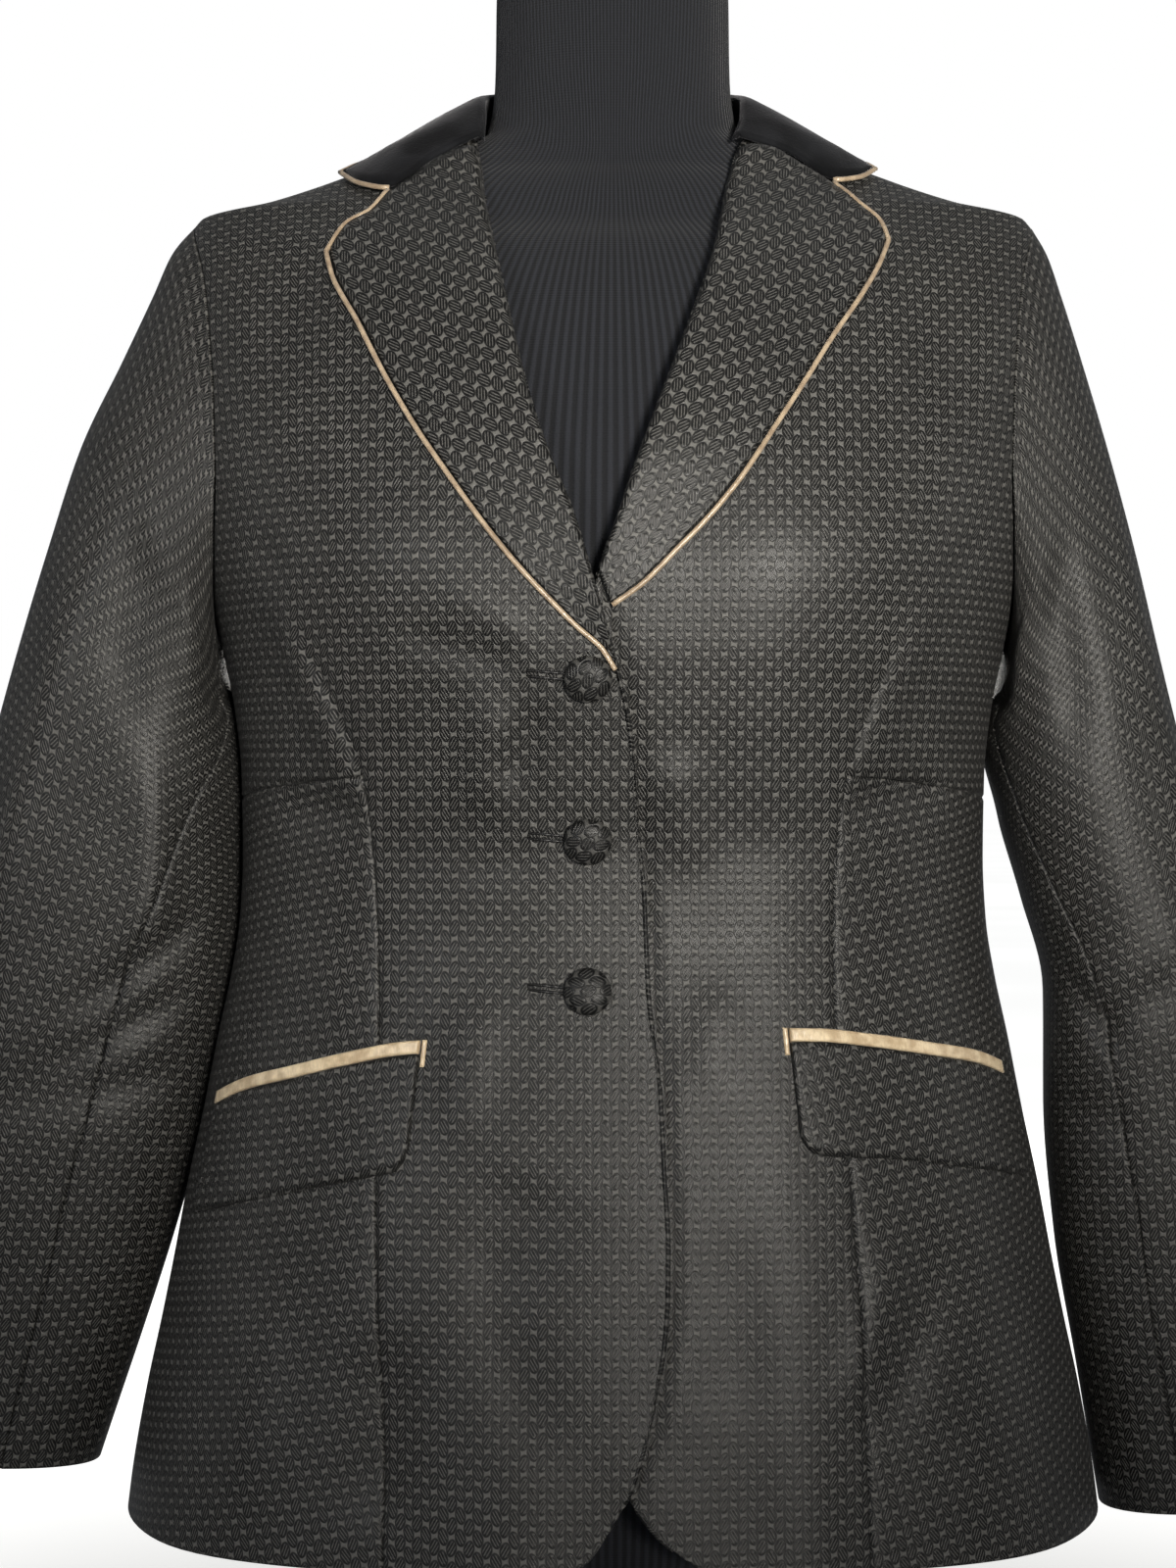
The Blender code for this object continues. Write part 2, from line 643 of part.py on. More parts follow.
def front_grid(left):
    """Angles and heights of one front, columns from its front edge to the side line."""
    edge_x = curve_of(OVER_EDGE if left else UNDER_EDGE, EDGE_COLUMNS, "x")
    hem_z = curve_of(OVER_HEM if left else UNDER_HEM, HEM_COLUMNS, "z")
    princess_x = curve_of(PRINCESS, PRINCESS_COLUMNS, "left_x" if left else "right_x")
    sign = -1.0 if left else 1.0
    foot_rows, cutaway_top = LEVELS[1][:2]
    corner_x, corner_z = OVER_HEM[-1] if left else UNDER_HEM[0]
    princess_foot = PRINCESS[0][PRINCESS_COLUMNS.index("left_x" if left else "right_x")]
    edge_z = raised(line_heights("edge", NECK_Z), corner_z, cutaway_top)
    princess_z = line_heights("princess", PRINCESS_TOP_Z)
    columns = []
    for share in FRONT_COLUMNS:
        z = edge_z + (princess_z - edge_z) * share
        edge_angle = front_angle(edge_x(edge_z), edge_z)
        princess_angle = front_angle(sign * princess_x(princess_z), princess_z)
        if left:
            edge_angle = np.where(edge_angle > 0, edge_angle - 2 * math.pi, edge_angle)
            princess_angle = np.where(princess_angle > 0, princess_angle - 2 * math.pi, princess_angle)
        if share < 1:
            foot_x = corner_x + (sign * princess_foot - corner_x) * share
            foot_z = float(hem_z(foot_x))
            z = raised(z, foot_z, cutaway_top)
        angle = edge_angle + (princess_angle - edge_angle) * share
        if 0 < share < 1:
            foot_angle = float(front_angle(foot_x, foot_z))
            rows = np.arange(len(z))
            blend = np.clip(1 - rows / foot_rows, 0, 1)
            angle = angle + (foot_angle - angle[0]) * blend
        columns.append((angle, z))
    side_deg, side_z = armhole_line(back=False)
    side_angle = -math.pi + side_deg if left else -side_deg
    last_angle, last_z = columns[-1]
    for share in SIDE_COLUMNS[1:]:
        angle = last_angle + (side_angle - last_angle) * share
        columns.append((angle, last_z + (side_z - last_z) * share))
    angle = np.array([c[0] for c in columns])
    z = np.array([c[1] for c in columns])
    return angle, z


def back_grid(left):
    """Angles and heights of one back, columns from the side line to the centre back."""
    side_deg, side_z = armhole_line(back=True)
    deg_curve = curve_of(BACK_LINE, BACK_LINE_COLUMNS, "deg")
    line_z = line_heights("back", NECK_Z)
    line_deg = np.radians(deg_curve(line_z))
    columns = []
    for share in BACK_COLUMNS:
        angle = side_deg + (line_deg - side_deg) * share
        columns.append((angle, side_z + (line_z - side_z) * share))
    for share in NECK_COLUMNS[1:]:
        columns.append((line_deg + (math.pi / 2 - line_deg) * share, line_z))
    angle = np.array([c[0] for c in columns])
    z = np.array([c[1] for c in columns])
    if left:
        angle = math.pi - angle
    return angle, z


def walls_of(angle, z, drop):
    outer = lay(angle, z, -drop)
    inner = lay(angle, z, -drop - CLOTH)
    return outer, inner


def flip(*grids):
    return [grid[::-1] for grid in grids]


def build_fronts(cloth_material):
    for left in (True, False):
        angle, z = front_grid(left)
        x = body_point(angle, z)[..., 0]
        drop = 0 * z if left else lap_drop(x, z)
        outer, inner = walls_of(angle, z, drop)
        middle = len(FRONT_COLUMNS) - 1
        cells = all_cells(outer.shape)
        side_cells = [(i, j) for i, j in cells if i >= middle and j < DART_ROW]
        main_cells = [cell for cell in cells if cell not in side_cells]
        cuts = {((middle, j), (middle, j + 1)) for j in range(DART_ROW, BUST_ROW)}
        if left:
            last = outer.shape[0] - 1
            outer, inner = flip(outer, inner)
            main_cells = [(last - 1 - i, j) for i, j in main_cells]
            side_cells = [(last - 1 - i, j) for i, j in side_cells]
            cuts = {((last - a, b), (last - c, d)) for (a, b), (c, d) in cuts}
        name = "left" if left else "right"
        cloth(f"front_{name}", outer, inner, main_cells, cloth_material, cuts)
        cloth(f"side_front_{name}", outer, inner, side_cells, cloth_material)


def build_backs(cloth_material):
    for left in (True, False):
        angle, z = back_grid(left)
        outer, inner = walls_of(angle, z, 0 * z)
        if left:
            outer, inner = flip(outer, inner)
        name = "left" if left else "right"
        cloth(f"back_{name}", outer, inner, all_cells(outer.shape), cloth_material)


def armhole_point(turn, sign):
    """The armhole at a turn in degrees: 0 the shoulder tip, 90 the front, 180 the underarm."""
    turn = np.asarray(turn) % 360.0
    front = turn <= 180.0
    along = np.where(front, 1 - turn / 180.0, turn / 180.0 - 1)
    z = curve_of(ARMHOLE, ARMHOLE_COLUMNS, "z")(along)
    front_deg = curve_of(ARMHOLE, ARMHOLE_COLUMNS, "front_deg")(along)
    back_deg = curve_of(ARMHOLE, ARMHOLE_COLUMNS, "back_deg")(along)
    angle = np.radians(np.where(front, -front_deg, back_deg))
    points = body_point(angle, z)
    points[..., 0] *= sign
    return points


def sleeve_values(at, sign):
    """(centre, half of the ring's slanting width, half depth) of the sleeve at a section."""
    name = "left" if sign < 0 else "right"
    keys = SLEEVE_COLUMNS[1:]
    read = {key: float(curve_of(SLEEVES, SLEEVE_COLUMNS, key)(at)) for key in keys}
    cuff = max(0.0, (at - CUFF_DROP_FROM) / (len(SLEEVES) - 1 - CUFF_DROP_FROM))
    drop = RIGHT_CUFF_DROP * cuff if sign > 0 else 0.0
    outer = np.array([sign * read[f"{name}_outer"], read["y"], read["outer_z"] - drop])
    inner = np.array([sign * read[f"{name}_inner"], read["y"], read["inner_z"] - drop])
    return (outer + inner) / 2, (outer - inner) / 2, read["half_depth"]


def rounded(turn, power):
    """Cosine and sine of a turn on a superellipse."""
    c = np.cos(turn)
    s = np.sin(turn)
    return np.sign(c) * np.abs(c) ** (2 / power), np.sign(s) * np.abs(s) ** (2 / power)


def plain_ring(at, turns, sign):
    centre, across, depth = sleeve_values(at, sign)
    c, s = rounded(np.radians(turns), SLEEVE_POWER)
    return centre + across * c[:, None] + np.array([0.0, -depth, 0.0]) * s[:, None]


def sleeve_ring(at, turns, sign):
    """The sleeve's ring, which takes the armhole's shape at its head."""
    ring = plain_ring(at, turns, sign)
    if at < HEAD_REACH:
        change = armhole_point(turns, sign) - plain_ring(0.0, turns, sign)
        ring = ring + change * (1 - smooth(at / HEAD_REACH))
    ring[:, 0] += sign * ARMHOLE_GAP * max(0.0, 1.0 - at)
    return ring


def sleeve_walls(sections, turns, sign):
    """Outer and inner points, turn by turn around and section by section down."""
    outer = []
    around = []
    for at, ring in zip(sections, turns.T):
        outer.append(sleeve_ring(at, ring, sign))
        around.append(sleeve_ring(at, ring + 1.0, sign) - sleeve_ring(at, ring - 1.0, sign))
    outer = np.array(outer).transpose(1, 0, 2)
    around = np.array(around).transpose(1, 0, 2)
    normals = unit(np.cross(around, np.gradient(outer, axis=1))) * sign
    # At the armhole the wall is square to the sleeve's head on top, and to the surface below.
    radial = unit((outer[:, 0] - sleeve_values(0.0, sign)[0]) * np.array([0.0, 1.0, 1.0]))
    on_top = smooth((np.cos(np.radians(turns[:, 0])) - TOP_FROM) / TOP_BLEND)[:, None]
    normals[:, 0] = unit(radial * on_top + normals[:, 0] * (1 - on_top))
    return outer, outer - normals * CLOTH


def build_sleeves(cloth_material):
    sections = np.linspace(0.0, len(SLEEVES) - 1.0, SLEEVE_ROWS)
    back_seam = curve_of(SLEEVES, SLEEVE_COLUMNS, "back_seam")(sections)
    for sign, name in ((-1.0, "left"), (1.0, "right")):
        front_seam = curve_of(SLEEVES, SLEEVE_COLUMNS, f"{name}_seam")(sections)
        for piece, faces in (("top", TOP_SLEEVE_COLUMNS), ("under", UNDER_SLEEVE_COLUMNS)):
            starts = back_seam - 360.0 if piece == "top" else front_seam
            stops = front_seam if piece == "top" else back_seam
            turns = np.linspace(starts, stops, faces + 1)
            outer, inner = sleeve_walls(sections, turns, sign)
            if sign < 0:
                outer, inner = flip(outer, inner)
            cells = all_cells(outer.shape)
            cloth(f"{piece}_sleeve_{name}", outer, inner, cells, cloth_material, gap=SLEEVE_SEAM_GAP)


def lapel_grid(left):
    """Positions across the body of one lapel: x, z and how far across it each point is."""
    rows = LEFT_LAPEL if left else RIGHT_LAPEL
    across = np.linspace(0.0, 1.0, LAPEL_FACES + 1)
    x = [row[0] + (row[2] - row[0]) * across for row in rows]
    z = [row[1] + (row[3] - row[1]) * across for row in rows]
    offset = 0 if left else 2
    x.append(np.array([row[offset] for row in LAPEL_TOP]))
    z.append(np.array([row[offset + 1] for row in LAPEL_TOP]))
    return halved(np.array(x)).T, halved(np.array(z)).T, across


def halved(rows):
    """The rows with one more between each two, on a smooth curve through them."""
    count = len(rows)
    table = [(k, *row) for k, row in enumerate(rows)]
    columns = tuple(range(rows.shape[1] + 1))
    at = np.linspace(0.0, count - 1.0, 2 * count - 1)
    return np.stack([curve_of(table, columns, k)(at) for k in columns[1:]], axis=1)


def lapel_walls(left):
    x, z, across = lapel_grid(left)
    angle = front_angle(x, z)
    drop = 0 * z if left else lap_drop(x, z)
    rows = np.linspace(0.0, 1.0, x.shape[1])
    stand = LAPEL_ROLL * (1 - across[:, None]) ** 1.5 * smooth(rows * 4)[None, :]
    inner = lay(angle, z, LIE - drop + stand)
    outer = lay(angle, z, LIE + CLOTH - drop + stand)
    return outer, inner


def build_lapels(cloth_material, piping_material):
    for left in (True, False):
        outer, inner = lapel_walls(left)
        name = "left" if left else "right"
        middle = (outer + inner) / 2
        rim = np.concatenate([middle[-1, :-1], middle[GORGE_END:, -1][::-1]])
        within = np.concatenate([middle[-2, :-1], middle[GORGE_END:, -2][::-1]])
        tube(f"piping_lapel_{name}", rim, within, piping_material)
        if left:
            outer, inner = flip(outer, inner)
        cloth(f"lapel_{name}", outer, inner, all_cells(outer.shape), cloth_material, gap=0.0)


def tube(name, rim, within, made_of, gap=NODE_GAP):
    """A piping along a rim, moved out from it away from the points within."""
    along = unit(np.gradient(rim, axis=0))
    away = rim - within
    away = unit(away - along * (away * along).sum(axis=1, keepdims=True))
    centre = rim + away * (PIPING_RADIUS + gap)
    second = np.cross(along, away)
    verts = []
    for point, a, b in zip(centre, away, second):
        for k in range(TUBE_SIDES):
            turn = 2 * math.pi * (k + 0.5) / TUBE_SIDES
            verts.append(point + PIPING_RADIUS * (math.cos(turn) * a + math.sin(turn) * b))
    lathe_mesh(name, verts, len(centre), TUBE_SIDES, made_of)


def lathe_mesh(name, verts, rings, sides, made_of, smooth_faces=True):
    """Rings of points joined into one closed body with flat ends."""
    faces = []
    for r in range(rings - 1):
        for k in range(sides):
            a = r * sides + k
            b = r * sides + (k + 1) % sides
            faces.append((a, b, b + sides, a + sides))
    faces.append(tuple(reversed(range(sides))))
    faces.append(tuple((rings - 1) * sides + k for k in range(sides)))
    obj = add_mesh(name, verts, faces, made_of, smooth_faces)
    for face in obj.data.polygons:
        if len(face.vertices) > 4:
            face.use_smooth = False
    return obj


def collar_section(edge, crease, seam, end=None):
    """Points from the collar's edge up over its crease and down its stand to the neck seam."""
    shares = (0.0, 0.25, 0.5, 0.75, 1.0)
    inward = unit(np.array([-crease[0], -crease[1], 0.0]))
    if end is None:
        up = np.array([0.0, 0.0, 0.85]) - inward * 0.5
        fall = [edge + (crease - edge) * w + up * COLLAR_BULGE * 4 * w * (1 - w) for w in shares]
    else:
        fall = list(end)
    top = crease + inward * STAND_SETBACK * 0.45 + np.array([0.0, 0.0, 0.0006])
    turn = crease + inward * STAND_SETBACK + np.array([0.0, 0.0, -0.0012])
    middle = (turn + seam) / 2
    return fall + [top, turn, middle, seam]


def collar_sections():
    sections = []
    for sign in (-1.0, 1.0):
        offset = 0 if sign < 0 else 2
        ends = np.array([(row[offset], row[offset + 1]) for row in COLLAR_END])
        angle = front_angle(ends[:, 0], ends[:, 1])
        points = lay(angle, ends[:, 1], np.full(len(ends), COLLAR_LIFT))
        crease = points[-1]
        seam = crease + np.array([-sign, 1.0, 1.0]) * END_SEAM
        half = [collar_section(points[0], crease, seam, points)]
        for row in COLLAR:
            angle = math.radians(row[0])
            edge = lay(np.array(angle), np.array(row[1]), COLLAR_LIFT)
            crease = np.array(row[2:5])  # its three crease columns
            seam = np.array(row[5:])
            section = np.array(collar_section(edge, crease, seam))
            section[:, 0] *= sign
            half.append(section)
        if sign < 0:
            sections.extend(half)
        else:
            sections.extend(half[-2::-1])
    return np.array(sections)


def build_collar(velvet_material, piping_material):
    outer = collar_sections()
    normals = grid_normals(outer)
    inner = outer + normals * VELVET
    rim = np.concatenate([outer[0, 2:0:-1], outer[:, 0], outer[-1, 1:3]])
    within = np.concatenate([outer[1, 2:0:-1], outer[:, 1], outer[-2, 1:3]])
    lower = np.concatenate([inner[0, 2:0:-1], inner[:, 0], inner[-1, 1:3]])
    tube("piping_collar", (rim + lower) / 2, within, piping_material, 2 * NODE_GAP)
    outer, inner = flip(outer, inner)
    cloth("collar", outer, inner, all_cells(outer.shape), velvet_material, gap=0.0)


def pocket_curves(left):
    name = "left" if left else "right"
    deg = curve_of(POCKETS, POCKET_COLUMNS, f"{name}_deg")
    top = curve_of(POCKETS, POCKET_COLUMNS, f"{name}_top")
    bottom = curve_of(POCKETS, POCKET_COLUMNS, f"{name}_bottom")
    return deg, top, bottom


def build_pockets(cloth_material, satin_material):
    for left in (True, False):
        deg, top, bottom = pocket_curves(left)
        name = "left" if left else "right"
        along = np.linspace(0.0, 1.0, POCKET_FACES + 1) ** POCKET_CROWDING
        angle = np.radians(-180.0 + deg(along)) if left else np.radians(-deg(along))
        for piece, high, low, rows, thick in (
            ("welt", top(along), top(along) - WELT_HEIGHT, 2, WELT_THICK),
            ("flap", top(along) - WELT_HEIGHT - NODE_GAP, bottom(along), 4, FLAP_THICK),
        ):
            share = np.linspace(0.0, 1.0, rows)
            z = low[:, None] + (high - low)[:, None] * share
            turned = np.repeat(angle[:, None], rows, axis=1)
            inner = lay(turned, z, np.full(z.shape, LIE))
            outer = lay(turned, z, np.full(z.shape, LIE + thick))
            if left:
                outer, inner = flip(outer, inner)
            made = satin_material if piece == "welt" else cloth_material
            cloth(f"{piece}_{name}", outer, inner, all_cells(z.shape), made, gap=0.0)


def build_buttons(cloth_material):
    for number, (z, lie) in enumerate(BUTTONS, 1):
        angle = front_angle(BUTTON_X, z)
        normal = body_normal(angle, z)
        foot = lay(angle, z, lie)
        side = unit(np.cross(np.array([0.0, 0.0, 1.0]), normal))
        upward = np.cross(normal, side)
        verts = []
        for radius, height in BUTTON_PROFILE:
            for k in range(BUTTON_SIDES):
                turn = 2 * math.pi * k / BUTTON_SIDES
                spoke = math.cos(turn) * side + math.sin(turn) * upward
                verts.append(foot + normal * height + spoke * radius)
        lathe_mesh(f"button_{number}", verts, len(BUTTON_PROFILE), BUTTON_SIDES, cloth_material)


def build_form(jersey_material, metal_material, base_material):
    angle = np.linspace(0.0, 2 * math.pi, FORM_SIDES, endpoint=False)
    verts = []
    for row in FORM_RINGS:
        z = np.full(FORM_SIDES, row[0])
        radius = ring_radius(FORM, angle, z)
        verts.extend(np.stack([radius * np.cos(angle), radius * np.sin(angle), z], axis=-1))
    lathe_mesh("dress_form", verts, len(FORM_RINGS), FORM_SIDES, jersey_material)
    ends = ((POLE_RADIUS, BASE_THICK + NODE_GAP), (POLE_RADIUS, FORM_BOTTOM - NODE_GAP))
    stack("pole", ends, POLE_SIDES, metal_material)
    inset = BASE_RADIUS - BASE_CHAMFER
    profile = ((BASE_RADIUS, 0.0), (BASE_RADIUS, BASE_THICK - BASE_CHAMFER), (inset, BASE_THICK))
    stack("base_plate", profile, BASE_SIDES, base_material)


def stack(name, profile, sides, made_of):
    """A round body from (radius, height) pairs."""
    verts = []
    for radius, z in profile:
        for k in range(sides):
            turn = 2 * math.pi * k / sides
            verts.append((radius * math.cos(turn), radius * math.sin(turn), z))
    lathe_mesh(name, verts, len(profile), sides, made_of)


def main():
    clear_scene()
    jacquard = material("jacquard_cloth", (0.030, 0.029, 0.027), 0.55, 0.3)
    velvet = material("velvet", (0.010, 0.010, 0.011), 0.9, 0.6)
    satin = material("champagne_satin", (0.62, 0.48, 0.29), 0.35)
    covered = material("covered_button_cloth", (0.030, 0.029, 0.027), 0.5, 0.3)
    jersey = material("black_jersey", (0.020, 0.022, 0.026), 0.8)
    metal = material("pole_metal", (0.05, 0.05, 0.05), 0.4)
    plate = material("base_paint", (0.035, 0.035, 0.037), 0.45)
    build_fronts(jacquard)
    build_backs(jacquard)
    build_sleeves(jacquard)
    build_lapels(jacquard, satin)
    build_collar(velvet, satin)
    build_pockets(jacquard, satin)
    build_buttons(covered)
    build_form(jersey, metal, plate)


main()
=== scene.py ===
"""The looks of a hunt coat that is filled out on a limbless dress form.

Metres, +Z up, the coat's front towards -Y. The panels follow the same rings, seams and sleeve
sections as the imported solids, on a finer grid that carries the creases and the cloth's grain.
Right and left are those of the front view.
"""

import math

import bpy
import numpy as np
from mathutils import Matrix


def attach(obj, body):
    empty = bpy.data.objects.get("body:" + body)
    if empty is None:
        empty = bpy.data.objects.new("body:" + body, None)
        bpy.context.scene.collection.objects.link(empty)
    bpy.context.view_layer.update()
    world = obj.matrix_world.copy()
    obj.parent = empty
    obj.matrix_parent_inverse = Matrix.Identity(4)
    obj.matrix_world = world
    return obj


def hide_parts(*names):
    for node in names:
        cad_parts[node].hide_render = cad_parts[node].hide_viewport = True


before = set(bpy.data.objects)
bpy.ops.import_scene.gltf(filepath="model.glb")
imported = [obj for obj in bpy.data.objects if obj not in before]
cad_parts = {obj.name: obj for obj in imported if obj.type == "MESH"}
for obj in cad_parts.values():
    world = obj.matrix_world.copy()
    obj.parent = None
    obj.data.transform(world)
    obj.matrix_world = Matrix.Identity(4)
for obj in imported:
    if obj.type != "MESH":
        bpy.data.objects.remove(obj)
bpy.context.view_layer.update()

SIDES = ("left", "right")
SHEET = 0.0008  # thickness of a visible layer of cloth
SMALL_SHEET = 0.0006  # the same on flaps and welts
FOLD_RADIUS = 0.0011  # of a turned edge
FOLD_TURNS = (150, 120, 90, 60, 30)  # degrees turned at each row round the fold
# Cloth from the edge to each folded row.
FOLD_LENGTHS = (0.0028, 0.0023, 0.0018, 0.0014, 0.0009, 0.0004)
TURN_BACK = 0.006  # how far a turned edge runs back inside
EDGE_ROWS = len(FOLD_TURNS) + 2  # rows that a turned edge adds
SEAM_DIP = 0.0008  # how deep a seam sinks
SEAM_TURN = 0.0035  # how far cloth turns in at a seam
SEAM_FADE_ROWS = 2.0  # coarse rows below the bust over which the front's seam runs out
ARMHOLE_GAP = 0.0004  # between the visible layers at the armhole
CLOTH = 0.0020  # thickness of a cloth wall
LAP_DROP = 0.0029  # how far the under front lies below the over front
LAP_END_X = 0.080  # the drop ends here, and fades over
LAP_FADE_X = 0.050
LAP_END_Z = 0.650
LAP_FADE_Z = 0.060
# The under front sinks a little along the over front's edge.
LAP_GROOVE = 0.0016
LAP_GROOVE_WIDTH = 0.0034
LAP_GROOVE_BEYOND = 0.0008  # from the edge to the groove's middle
LIE = 0.0007  # between a panel and what lies on it
VELVET = 0.0022  # thickness of the collar
NECK_Z = 0.800  # neckline of the back
WELT_HEIGHT = 0.0066
WELT_THICK = 0.0024
FLAP_THICK = 0.0020
PIPING_RADIUS = 0.0012
BUTTON_X = -0.0119
NODE_GAP = 0.0003  # between small pieces that meet
FLIP_ACROSS = (-1.0, 1.0)  # turns the cloth's own place left for right

RING_COLUMNS = ("z", "half_width", "front", "back", "power")
BODY_RINGS = (
    (0.140, 0.2330, 0.157, 0.150, 2.30),
    (0.160, 0.2305, 0.155, 0.147, 2.30),
    (0.200, 0.2235, 0.151, 0.142, 2.30),
    (0.230, 0.2170, 0.148, 0.138, 2.30),
    (0.260, 0.2110, 0.145, 0.134, 2.30),
    (0.295, 0.2045, 0.141, 0.129, 2.30),
    (0.330, 0.1970, 0.136, 0.123, 2.30),
    (0.366, 0.1900, 0.130, 0.115, 2.28),
    (0.394, 0.1840, 0.126, 0.108, 2.26),
    (0.420, 0.1800, 0.123, 0.103, 2.25),
    (0.450, 0.1785, 0.124, 0.101, 2.25),
    (0.490, 0.1790, 0.133, 0.104, 2.25),
    (0.520, 0.1820, 0.141, 0.109, 2.25),
    (0.550, 0.1880, 0.147, 0.114, 2.25),
    (0.580, 0.1950, 0.149, 0.119, 2.28),
    (0.620, 0.2030, 0.144, 0.123, 2.30),
    (0.660, 0.2080, 0.132, 0.123, 2.32),
    (0.700, 0.2105, 0.112, 0.116, 2.34),
    (0.735, 0.2090, 0.086, 0.101, 2.30),
    (0.757, 0.2000, 0.062, 0.083, 2.20),
    (0.764, 0.1720, 0.055, 0.076, 2.15),
    (0.771, 0.1500, 0.050, 0.071, 2.10),
    (0.780, 0.1250, 0.046, 0.066, 2.05),
    (0.788, 0.1020, 0.043, 0.062, 2.00),
    (0.800, 0.0720, 0.040, 0.058, 2.00),
    (0.830, 0.0600, 0.038, 0.052, 2.00),
)
FORM_RINGS = (
    (0.100, 0.1350, 0.082, 0.085, 2.20),
    (0.104, 0.1440, 0.090, 0.093, 2.20),
    (0.115, 0.1520, 0.097, 0.100, 2.20),
    (0.160, 0.1660, 0.110, 0.112, 2.20),
    (0.230, 0.1760, 0.118, 0.118, 2.20),
    (0.300, 0.1750, 0.116, 0.112, 2.20),
    (0.360, 0.1660, 0.108, 0.100, 2.20),
    (0.430, 0.1580, 0.102, 0.088, 2.20),
    (0.470, 0.1600, 0.108, 0.090, 2.20),
    (0.520, 0.1660, 0.122, 0.096, 2.20),
    (0.570, 0.1740, 0.133, 0.103, 2.20),
    (0.620, 0.1820, 0.128, 0.108, 2.20),
    (0.670, 0.1860, 0.112, 0.107, 2.20),
    (0.710, 0.1880, 0.092, 0.098, 2.20),
    (0.735, 0.1860, 0.074, 0.086, 2.20),
    (0.750, 0.1780, 0.058, 0.073, 2.15),
    (0.7645, 0.1600, 0.050, 0.064, 2.10),
    (0.7720, 0.1380, 0.045, 0.058, 2.05),
    (0.7812, 0.1100, 0.038, 0.053, 2.00),
    (0.7890, 0.0820, 0.036, 0.049, 2.00),
    (0.800, 0.0610, 0.037, 0.045, 2.00),
    (0.825, 0.0570, 0.041, 0.043, 2.00),
    (0.875, 0.0560, 0.044, 0.043, 2.00),
    (0.888, 0.0540, 0.042, 0.041, 2.00),
    (0.892, 0.0480, 0.037, 0.036, 2.00),
)

# Soft flutes of the skirt: a ridge where out is above 0 and a trough where it is below.
# Columns: deg, width_deg, out, top_z.
FLUTES = (
    (-152.0, 10.0, 0.0040, 0.31),
    (-128.0, 10.0, -0.0040, 0.28),
    (-107.0, 9.0, 0.0030, 0.30),
    (-68.0, 7.0, -0.0032, 0.34),
    (-50.0, 8.0, -0.0034, 0.31),
    (-30.0, 10.0, 0.0045, 0.32),
    (32.0, 11.0, -0.0045, 0.32),
    (60.0, 12.0, 0.0055, 0.35),
    (88.0, 10.0, -0.0050, 0.37),
    (117.0, 12.0, 0.0055, 0.34),
    (148.0, 11.0, -0.0045, 0.33),
)
BUST_DEG = 52.0
BUST_Z = 0.582
BUST_OUT = 0.0055
BUST_WIDTH_DEG = 22.0
BUST_HEIGHT = 0.050

EDGE_COLUMNS = ("z", "x")
OVER_EDGE = (
    (0.1680, 0.0004),
    (0.1790, 0.0072),
    (0.1920, 0.0115),
    (0.2050, 0.0155),
    (0.2230, 0.0192),
    (0.2400, 0.0222),
    (0.2620, 0.0238),
    (0.2820, 0.0240),
    (0.3130, 0.0224),
    (0.3530, 0.0205),
    (0.3900, 0.0158),
    (0.4450, 0.0133),
    (0.4690, 0.0106),
    (0.5000, 0.0083),
    (0.5180, 0.0057),
    (0.5310, 0.0026),
    (0.5740, -0.0093),
    (0.6040, -0.0183),
    (0.6320, -0.0295),
    (0.6575, -0.0378),
    (0.7110, -0.0503),
    (0.7510, -0.0586),
    (0.7900, -0.0650),
    (0.8000, -0.0720),
)
UNDER_EDGE = (
    (0.1570, 0.0200),
    (0.1622, 0.0152),
    (0.1738, 0.0063),
    (0.1850, 0.0000),
    (0.2000, -0.0060),
    (0.2200, -0.0130),
    (0.2450, -0.0190),
    (0.2800, -0.0220),
    (0.5200, -0.0220),
    (0.5500, -0.0180),
    (0.5740, -0.0093),
    (0.5950, -0.0021),
    (0.6280, 0.0095),
    (0.6570, 0.0204),
    (0.7020, 0.0368),
    (0.7310, 0.0461),
    (0.7700, 0.0539),
    (0.7900, 0.0610),
    (0.8000, 0.0720),
)
# The rounded cutaway between the front edge and the level hem.
HEM_COLUMNS = ("x", "z")
OVER_HEM = (
    (-0.0600, 0.1400),
    (-0.0400, 0.1402),
    (-0.0250, 0.1420),
    (-0.0127, 0.1478),
    (-0.0030, 0.1614),
    (0.0004, 0.1680),
)
UNDER_HEM = (
    (0.0200, 0.1570),
    (0.0262, 0.1522),
    (0.0351, 0.1464),
    (0.0480, 0.1415),
    (0.0620, 0.1402),
    (0.0800, 0.1400),
)
# The long seam over the bust: sewn up to the bust point, and a plain line of the panel above.
PRINCESS_COLUMNS = ("z", "left_x", "right_x")
PRINCESS = (
    (0.1400, 0.1036, 0.1143),
    (0.2000, 0.1041, 0.1120),
    (0.2600, 0.1051, 0.1080),
    (0.3100, 0.1061, 0.1044),
    (0.3760, 0.1057, 0.0985),
    (0.4180, 0.1066, 0.0980),
    (0.4430, 0.1080, 0.0986),
    (0.4650, 0.1101, 0.1005),
    (0.4850, 0.1129, 0.1035),
    (0.5000, 0.1166, 0.1065),
    (0.5200, 0.1244, 0.1125),
    (0.5370, 0.1320, 0.1185),
    (0.5500, 0.1388, 0.1237),
    (0.5630, 0.1415, 0.1276),
    (0.5800, 0.1425, 0.1306),
    (0.6200, 0.1420, 0.1335),
    (0.7000, 0.1380, 0.1335),
    (0.7570, 0.1320, 0.1310),
    (0.7782, 0.1299, 0.1299),
)
PRINCESS_TOP_Z = 0.7782
